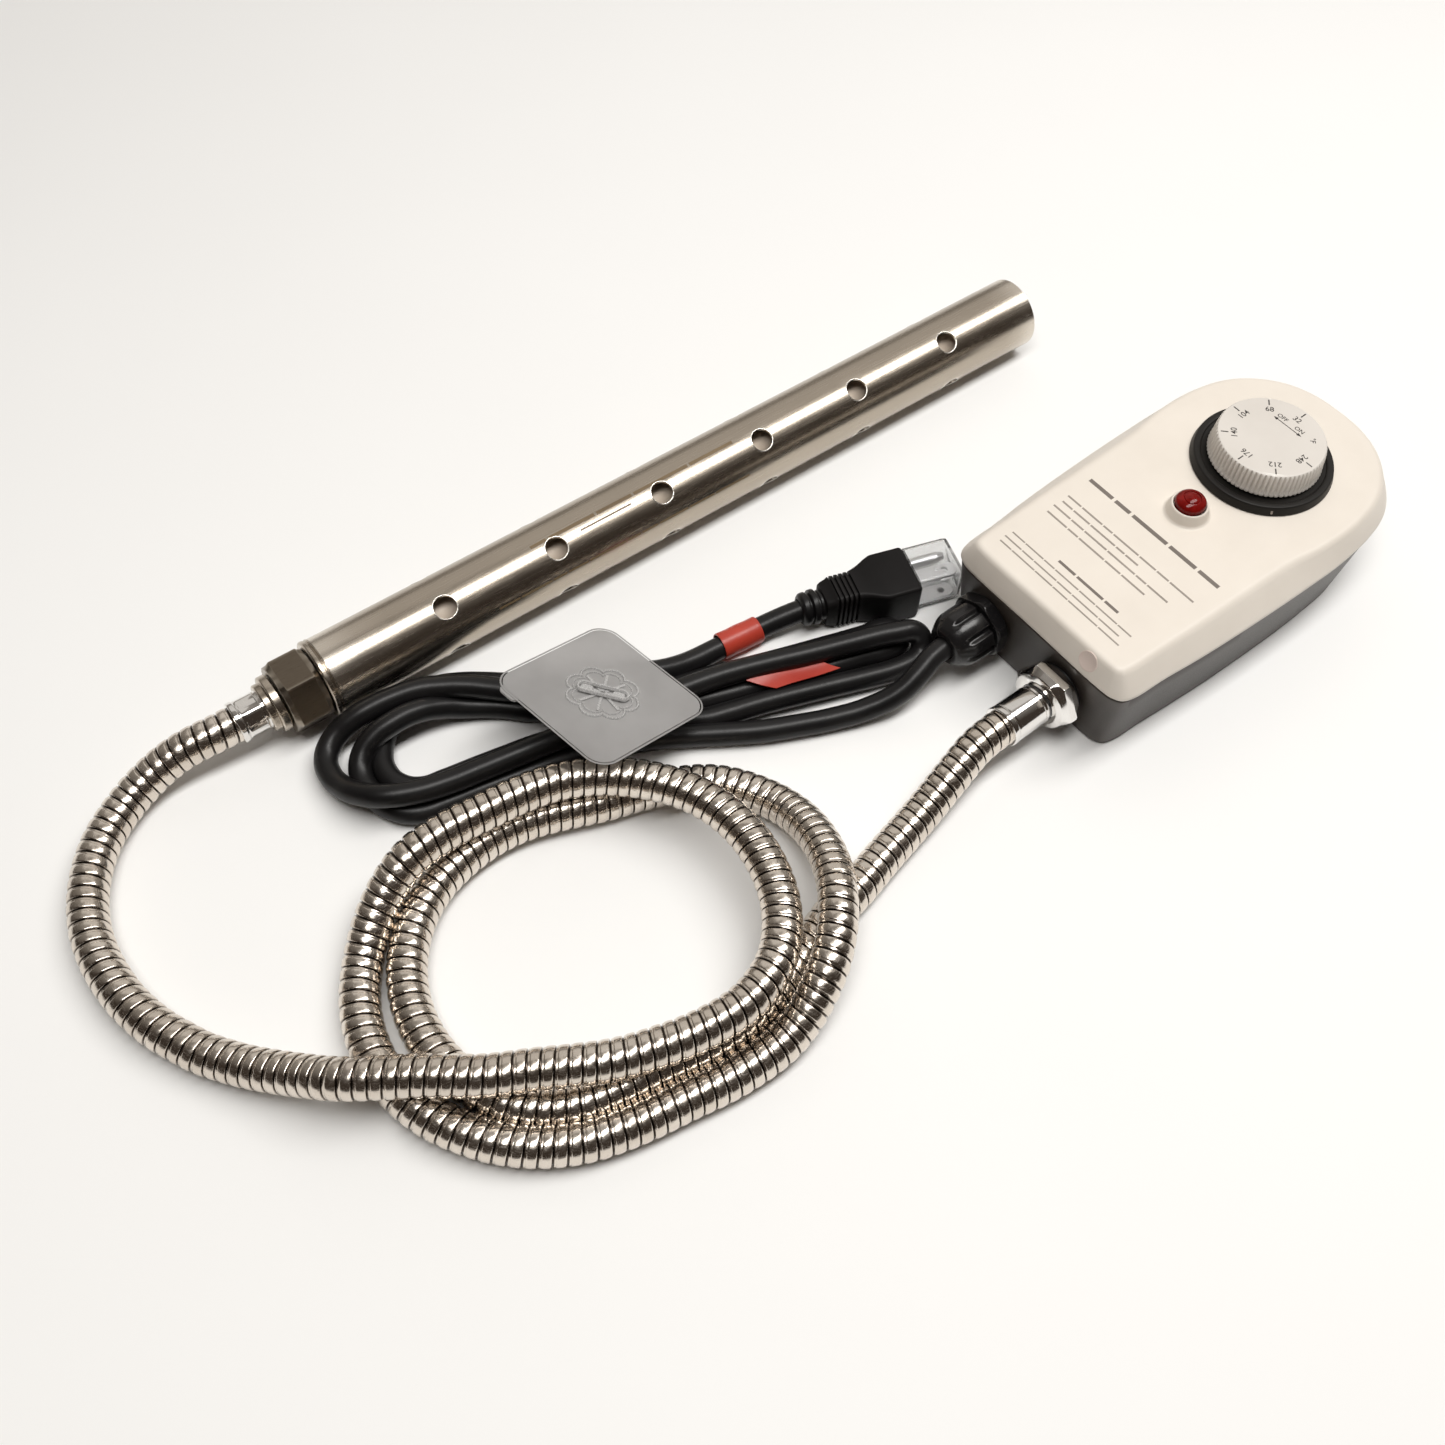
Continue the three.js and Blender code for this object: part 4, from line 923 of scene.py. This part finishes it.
def make_dial():
    profile = [
        [3.3, KNOB_LOW + 0.2], [22.9, KNOB_LOW], [23.4, 54.6], [23.5, 55], [23.4, 55.5], [23.2, 56],
        [23.1, 56.8], [23, 58], [22.8, 60], [22.6, 62], [22.4, 63.4], [22.2, 64.2], [21.8, 64.75],
        [GRIP_RADIUS, 64.97], [21.1, KNOB_HIGH],
    ]

    def ribbed(r, z, angle):
        if r < GRIP_RADIUS:
            return r
        deep = 0.9 if z > 56 else 0.5
        fade = min(1, max(0, (64.9 - z) / 0.9)) * min(1, max(0, (r - GRIP_RADIUS) / 0.6))
        wave = abs(math.sin(angle * RIBS / 2))
        return r - deep * fade * (1 - wave) ** 1.3
    knob = turned("dial_cap", profile, CONTROLLER, RIBS * 10, ribbed, 40)
    finish(knob, "dial", "cream_plastic", "dial_plastic", "dial_knob")
    for step in range(7):
        degrees, label = (90 + 45 * step) % 360, str(32 + 36 * step)
        printed("dial_%s" % label, label, 2.7, dial_place(15.2, degrees))
        tick(label, degrees, 17.6, 20.6)
    printed("dial_unit", "°F", 2.4, dial_place(16, 45))
    across = Matrix.Translation((4.4, 0, 0))
    printed("dial_off", "OFF", 2.1, dial_place(11.4, 90) @ across.inverted())
    printed("dial_on", "ON", 2.1, dial_place(11.4, 90) @ across)
    shaft = [(-5.2, -0.18), (5.2, -0.18), (5.2, -0.8), (7.2, 0), (5.2, 0.8), (5.2, 0.18), (-5.2, 0.18),
             (-5.2, 0.8), (-7.2, 0), (-5.2, -0.8)]
    arrow = lofted("dial_arrow", [(shaft, 0), (shaft, 0.06)], dial_place(9.2, 90))
    finish(arrow, "dial", "gloss_black", "print_ink")


def dial_place(radius, degrees):
    angle = math.radians(degrees)
    out = Vector((math.sin(angle), -math.cos(angle), 0))
    across = Vector((-math.cos(angle), -math.sin(angle), 0))
    turn = Matrix((across, out, Vector((0, 0, 1)))).transposed().to_4x4()
    return CONTROLLER @ Matrix.Translation(out * radius + Vector((0, 0, KNOB_HIGH - 0.02))) @ turn


def tick(label, degrees, start, end):
    place = dial_place((start + end) / 2, degrees)
    mark = slab("dial_tick_" + label, rounded_box(0.5, end - start, 0.12, 2), 0, 0.06, place, 0.02)
    finish(mark, "dial", "gloss_black", "print_ink")


def printed(name, text, size, place):
    data = bpy.data.curves.new(name, "FONT")
    data.body = text
    data.size = size * 1.35
    data.align_x = "CENTER"
    data.align_y = "CENTER"
    data.extrude = 0.03
    data.offset = 0.035
    data.resolution_u = 4
    source = add_object(name + "_source", data)
    bpy.context.view_layer.update()
    mesh = bpy.data.meshes.new_from_object(source.evaluated_get(bpy.context.evaluated_depsgraph_get()))
    bpy.data.objects.remove(source)
    mesh.transform(place)
    mesh.transform(Matrix.Scale(MM, 4))
    finish(add_object(name, mesh), "dial", "gloss_black", "print_ink")


def dashes(name, start, end, height, words, bend, place, ink):
    """A row of plain dashes from start to end, laid on a surface by bend(along, across, up)."""
    points, faces = [], []
    gap = height * 0.8
    share = (abs(end - start) - gap * (len(words) - 1)) / sum(words)
    way = 1 if end > start else -1
    at = start
    steps = 4
    for word in words:
        stop = at + way * word * share
        ring_base = len(points)
        for k in range(steps + 1):
            across = height * (k / steps - 0.5)
            points += [bend(at, across, 0.04), bend(stop, across, 0.04),
                       bend(stop, across, -0.05), bend(at, across, -0.05)]
        rings = [range(ring_base + 4 * k, ring_base + 4 * k + 4) for k in range(steps + 1)]
        faces += rings_to_faces(rings) + [list(rings[0])[::-1], list(rings[-1])]
        at = stop + way * gap
    finish(mesh_object(name, points, faces, place), "unit", *ink)


def make_print():
    """Plain dashes where the cover and the guard tube carry printed lines."""
    rows = [
        ("title", -63.4, 35.5, -34, 1.9, [11, 7, 16, 12, 9], "title_ink"),
        ("line_1", -76.7, 34.8, -33, 0.9, [6, 9, 4, 11, 7, 5, 10], "pale_ink"),
        ("line_2", -80.6, 34, -7.4, 0.9, [5, 8, 12, 4, 6], "pale_ink"),
        ("line_3", -84.8, 34.8, -27, 0.9, [7, 5, 9, 11, 4, 8], "pale_ink"),
        ("line_4", -89.2, 34, -19, 0.9, [8, 4, 10, 6, 9], "pale_ink"),
        ("line_5", -103.7, 13, -19, 1.3, [9, 14, 7], "title_ink"),
        ("line_6", -108, 34.5, -30, 0.7, [5, 7, 4, 9, 6, 8, 5], "pale_ink"),
        ("line_7", -111.6, 35, -27, 0.7, [6, 4, 8, 5, 9, 7], "pale_ink"),
        ("line_8", -114.8, 34.5, -30, 0.7, [4, 8, 6, 5, 10, 7], "pale_ink"),
    ]
    for name, x, start, end, height, words, ink in rows:
        def flat(along, across, up, x=x):
            return (x + across, along, COVER_TOP + up)
        dashes("print_" + name, start, end, height, words, flat, CONTROLLER, ("gloss_black", ink))
    rows = [
        ("upper", -92, 9, 101, 1.5, [3, 9, 7, 11, 9]),
        ("middle", -70, -45, 113, 0.9, [10]),
        ("lower", -115, 10, 160, 0.9, [6, 9, 4, 6, 11, 4, 5, 9, 8, 11]),
    ]
    for name, start, end, degrees, height, words in rows:
        def wrapped(along, across, up, degrees=degrees):
            angle = math.radians(degrees) + across / TUBE_RADIUS
            reach = TUBE_RADIUS + up
            return (along, reach * math.cos(angle), reach * math.sin(angle))
        dashes("tube_mark_" + name, start, end, height, words, wrapped, HEATER,
               ("titanium", "tube_mark"))


# ---------------------------------------------------------------- fittings
def make_fittings():
    gland = GLAND @ ALONG_X

    def lobed(r, z, angle):
        if r < 9 or z < -19.5:
            return r
        grow = min(1, max(0, (z + 19.5) / 3.5))
        wave = math.sin(angle * 4) ** 2
        return r + grow * 1.5 * (min(1, wave * 3.4) - 0.6)
    dome = [
        [5.2, -23], [6.4, -23], [7.6, -22.6], [8.9, -21.4], [10.1, -19.6], [10.9, -17.6], [11.3, -15.4],
        [11.4, -13], [11.4, -6.6], [11, -6], [8.3, -5.8], [8.3, -14], [5.3, -19], [5.2, -23],
    ]
    nut = turned("gland_nut", softened(dome, 0.5), gland, 200, lobed, 30)
    finish(nut, "gland_nut", "gloss_black", "gloss_black", "gland_dome_nut")
    flange = [
        [5.3, -12], [7.9, -12], [7.9, -5.4], [12.8, -5.4], [13.6, -4.6], [13.6, -0.8], [13, 0], [7.9, 0],
        [7.9, 13], [5.3, 13], [5.3, -12],
    ]
    body = turned("gland_flange", softened(flange, 0.3), gland, 144, hexagon(25, math.pi / 6), 26)
    finish(body, "unit", "gloss_black", "gloss_black", "gland_body")
    link = CONNECTOR @ ALONG_X
    union = [
        [8.2, -11.4], [10, -11.4], [12.2, -10.6], [15.2, -7.4], [15.2, -4.6], [12.8, -1.8], [10.8, -1.5],
        [8.2, -1.5], [8.2, -11.4],
    ]
    nut = turned("chrome_nut", softened(union, 0.35), link, 192, hexagon(26.4, 0), 24)
    finish(nut, "conduit_nut", "chrome", "chrome", "union_nut")
    washer = [[8.3, -1.2], [11.4, -1.2], [11.8, -0.8], [11.8, 0], [8.3, 0], [8.3, -1.2]]
    ring = turned("rubber_washer", softened(washer, 0.2), link)
    finish(ring, "unit", "black_rubber", "black_rubber", "connector_washer")
    finish(ferrule("controller_end_ferrule", -31, 19.3, 8.6, link, 0), "unit", "chrome", "chrome",
           "controller_ferrule")


# ---------------------------------------------------------------- plug
def make_plug():
    # along the plug: place, half width, half height and corner radius
    stations = [(-40.2, 5.8, 6.4, 3), (-39.8, 6.6, 7.4, 3), (-38.6, 7, 7.9, 2.8), (-36.6, 7.2, 8.4, 2.6)]
    at = -35.6
    for _ in range(5):
        stations += [(at, 7.5, 9.1, 2.4), (at + 0.2, 6.5, 8.2, 2.2), (at + 0.9, 6.5, 8.2, 2.2),
                     (at + 1.1, 7.6, 9.2, 2.4)]
        at += 2.1
    stations += [(-24.4, 7.9, 9.3, 2.2), (-21.5, 9, 9.4, 2), (-18, 10.8, 9.5, 1.7), (-15.6, 11.8, 9.5, 1.5),
                 (-14.4, 12, 9.5, 1.4), (-1.8, 12, 9.5, 1.4), (-1, 11.7, 9.2, 1.3), (0, 10.6, 8.1, 1.1)]
    loops = [[(x, y, z) for y, z in rounded_box(2 * half_width, 2 * half_height, corner)]
             for x, half_width, half_height, corner in stations]
    body = skinned("plug_shell", loops, PLUG, 28)
    finish(body, "unit", "black_plastic", "plug_black", "plug_body")
    relief = [
        [4.75, -36.3], [6.4, -36.3], [6.4, -41.2], [5.9, -41.5], [5.9, -42.3], [7.4, -42.6], [7.5, -43.2],
        [7.4, -44.6], [6.9, -45], [5.8, -45.2], [5.8, -46], [6.9, -46.2], [7.1, -46.8], [6.9, -48.4],
        [6.2, -49.2], [5.2, -49.8], [4.75, -49.7], [4.75, -36.3],
    ]
    collar = turned("plug_strain_collar", softened(relief, 0.25), PLUG @ ALONG_X, 72)
    finish(collar, "unit", "black_rubber", "black_rubber", "plug_strain_relief")
    return [body, collar, make_guard()]


def make_guard():
    """The clear pull-off cap over the blades: one open-backed box with thin walls."""
    width, height, wall, shift = 20.6, 17.4, 1.1, 1.55
    points, rings = [], []
    for x, shrink in ((0.3, 0), (18, 0), (19.6, 0.3), (20.1, 1), (20.3, 2.2), (19.1, 3), (18.6, wall),
                      (0.3, wall)):
        loop = rounded_box(width - 2 * shrink, height - 2 * shrink, max(0.8, 2.2 - shrink), 6)
        rings.append(list(range(len(points), len(points) + len(loop))))
        points += [(x, y + shift, z) for y, z in loop]
    outside, inside = rings[:5], rings[5:]
    faces = rings_to_faces(outside) + [outside[-1]]
    faces += rings_to_faces(inside) + [inside[0][::-1]]
    faces += rings_to_faces([inside[-1], outside[0]])
    guard = mesh_object("blade_cap", points, faces, PLUG, 30)
    return finish(guard, "unit", "clear_plastic", "clear_plastic", "blade_guard")


def make_tags():
    sleeve = [
        [5.1, -9], [5.5, -9], [5.65, -8.6], [5.6, -4], [5.7, 0], [5.6, 5], [5.65, 8.6], [5.5, 9],
        [5.1, 9], [5.1, -9],
    ]

    def creased(r, z, angle):
        return r + 0.12 * math.sin(3 * angle + z * 0.7) if r > 5.3 else r
    wrap = turned("red_sleeve", sleeve, SLEEVE @ ALONG_X, 72, creased)
    finish(wrap, "unit", "red_film", "red_film", "tag_sleeve")
    near = (Vector((-43.3, -12, 11.4)), Vector((-16.3, -19, 11.2)))
    far = (Vector((-51.2, -2.4, 12.2)), Vector((-21.9, -10, 11.8)))
    points, faces = [], []
    across, along = 6, 14
    for lift in (0, 0.45):
        for i in range(across + 1):
            for j in range(along + 1):
                u, v = i / across, j / along
                point = near[0].lerp(near[1], v).lerp(far[0].lerp(far[1], v), u)
                point.z += lift - 0.5 * math.sin(math.pi * u) + 0.25 * math.sin(v * 7)
                points.append(point)
    row, layer = along + 1, (across + 1) * (along + 1)
    for i in range(across):
        for j in range(along):
            a, b, c, d = i * row + j, i * row + j + 1, (i + 1) * row + j + 1, (i + 1) * row + j
            faces += [(a, d, c, b), (a + layer, b + layer, c + layer, d + layer)]
    border = list(range(along)) + [i * row + along for i in range(across)]
    border += [across * row + j for j in range(along, 0, -1)] + [i * row for i in range(across, 0, -1)]
    for a, b in zip(border, border[1:] + border[:1]):
        faces.append((a, b, b + layer, a + layer))
    flag = mesh_object("red_flag", points, faces)
    finish(flag, "unit", "red_film", "red_film", "tag_flag")
    return [wrap, flag]


# ---------------------------------------------------------------- hook pad
def lobed_ring(radius, count=8, depth=0.2, steps=240):
    loop = []
    for i in range(steps):
        angle = TAU * i / steps
        reach = radius * (1 - depth + depth * abs(math.sin(angle * count / 2)) ** 0.6)
        loop.append((reach * math.cos(angle), reach * math.sin(angle), 0))
    return loop


def ridge(width, height):
    half = [(width / 2, -0.1), (width / 2 - 0.1, height * 0.6), (width * 0.2, height)]
    return [(-x, y) for x, y in half] + half[::-1]


def make_pad():
    sheet = rounded_box(57, 57, 7, 10)
    plate = slab("pad_sheet", sheet, -1, 0, PAD, 0.35)
    finish(plate, "hook_pad", "clear_plastic", "frosted_plastic", "pad_plate")
    edge = [(x, y, 0) for x, y in inset(sheet, 1.2)]
    finish(swept("pad_edge_bead", edge, ridge(0.7, 0.12), PAD, True), "hook_pad", "clear_plastic",
           "frosted_plastic")
    tab = slab("pad_tab", rounded_box(6, 9, 2.4), -0.9, -0.2, PAD @ Matrix.Translation((-28, 20, 0)), 0.25)
    finish(tab, "hook_pad", "clear_plastic", "frosted_plastic")


def make_hook():
    """The raised lobed rings, the spokes and the small hook in the middle of the pad."""
    finish(swept("rosette_outer", lobed_ring(14.4), ridge(1.1, 0.7), PAD, True), "hook_pad", "clear_plastic",
           "frosted_edge", "pad_rosette")
    finish(swept("rosette_inner", lobed_ring(12), ridge(0.7, 0.5), PAD, True), "hook_pad", "clear_plastic",
           "frosted_edge")
    for degrees in (35, 80, 125, 170):
        place = PAD @ Matrix.Rotation(math.radians(degrees), 4, "Z")
        spoke = slab("rosette_spoke_%d" % degrees, rounded_box(21, 0.8, 0.35, 3), -0.1, 0.45, place, 0.2)
        finish(spoke, "hook_pad", "clear_plastic", "frosted_edge")
    turn = PAD @ Matrix.Rotation(math.radians(-55), 4, "Z")
    strap = [(x, y, 0.5 + 0.9 * math.cos(x / 7.5)) for x, y in rounded_box(19.5, 4.8, 2.3, 8)]
    finish(swept("hook_strap", strap, ridge(1.3, 1.1), turn, True), "hook_pad", "clear_plastic",
           "frosted_edge", "pad_hook")
    for x in (-6.2, 6.2):
        nub = slab("hook_nub_%s" % ("far" if x > 0 else "near"), rounded_box(4, 2.4, 0.7), -0.1, 1.1,
                   turn @ Matrix.Translation((x, 0, 0)), 0.3)
        finish(nub, "hook_pad", "clear_plastic", "frosted_edge")


# ---------------------------------------------------------------- carried-over nodes, floor and light
CARRIED = {
    "magnesia": ["magnesia_core"],
    "resistance_wire": ["heating_coil"],
    "copper": ["sensing_bulb", "capillary"],
    "zinc": ["cover_screw_1", "cover_screw_2", "cover_screw_3", "cover_screw_4", "thermostat_screw_1",
             "thermostat_screw_2", "connector_body", "connector_lock_nut", "line_blade", "neutral_blade",
             "ground_pin"],
    "brass": ["dial_shaft"],
    "beige_plastic": ["thermostat_body", "lamp_body", "terminal_block", "neutral_wire"],
    "ground_green": ["ground_wire"],
    "black_rubber": ["gland_seal", "line_wire"],
    "gloss_black": ["gland_lock_nut"],
}


def dress_nodes():
    for material, names in CARRIED.items():
        for name in names:
            node = bpy.data.objects[name]
            for entry in node.material_slots:
                entry.material = PAINTS[material]


FLOOR_REACH = 3


def add_floor():
    points = [(FLOOR_REACH * x, FLOOR_REACH * y, 0) for x, y in ((-1, -1), (1, -1), (1, 1), (-1, 1))]
    mesh = bpy.data.meshes.new("floor")
    mesh.from_pydata(points, [], [(0, 1, 2, 3)])
    floor = add_object("floor", mesh)
    paint = Paint("floor_paper", 0.8)
    paint.color(paint.ramp(paint.noise(3), (0.3, (0.88, 0.88, 0.874)), (0.7, (0.9, 0.9, 0.894))))
    mesh.materials.append(paint.material)


def area_light(name, place, aim, size, power, color):
    data = bpy.data.lights.new(name, "AREA")
    data.shape = "RECTANGLE"
    data.size, data.size_y = size
    data.energy = power
    data.color = color
    light = add_object(name, data)
    light.location = place
    light.rotation_euler = (Vector(aim) - Vector(place)).to_track_quat("-Z", "Y").to_euler()


def add_light():
    world = bpy.data.worlds.new("studio")
    bpy.context.scene.world = world
    world.use_nodes = True
    nodes, links = world.node_tree.nodes, world.node_tree.links
    where = nodes.new("ShaderNodeTexCoord").outputs["Generated"]
    dot = nodes.new("ShaderNodeVectorMath")
    dot.operation = "DOT_PRODUCT"
    dot.inputs[1].default_value = (0.55, 0.7, 0.45)
    links.new(where, dot.inputs[0])
    ramp = nodes.new("ShaderNodeValToRGB")
    elements = ramp.color_ramp.elements
    elements[0].position, elements[0].color = 0.05, (0.045, 0.035, 0.028, 1)
    elements[1].position, elements[1].color = 0.85, (0.3, 0.278, 0.25, 1)
    links.new(dot.outputs["Value"], ramp.inputs["Fac"])
    links.new(ramp.outputs["Color"], nodes["Background"].inputs["Color"])
    nodes["Background"].inputs["Strength"].default_value = 1.0
    area_light("overhead", (0.3, -0.2, 1.5), (0.3, 0, 0), (2.1, 0.42), 29, (1, 0.985, 0.96))
    area_light("rear", (0.7, 1.3, 1.3), (0, 0, 0), (2.2, 1.6), 4, (1, 0.98, 0.95))
    bpy.context.scene.view_settings.view_transform = "Standard"


def main():
    place_camera()
    make_metals()
    make_blacks()
    make_pale_plastics()
    make_colours()
    make_inks()
    make_conduit()
    plug = make_plug()
    tags = make_tags()
    make_cord()
    make_heater()
    make_base()
    make_cover()
    make_mould_mark()
    make_print()
    make_bezel()
    make_lens()
    make_dial()
    make_fittings()
    make_pad()
    make_hook()
    dress_nodes()
    add_floor()
    add_light()


main()
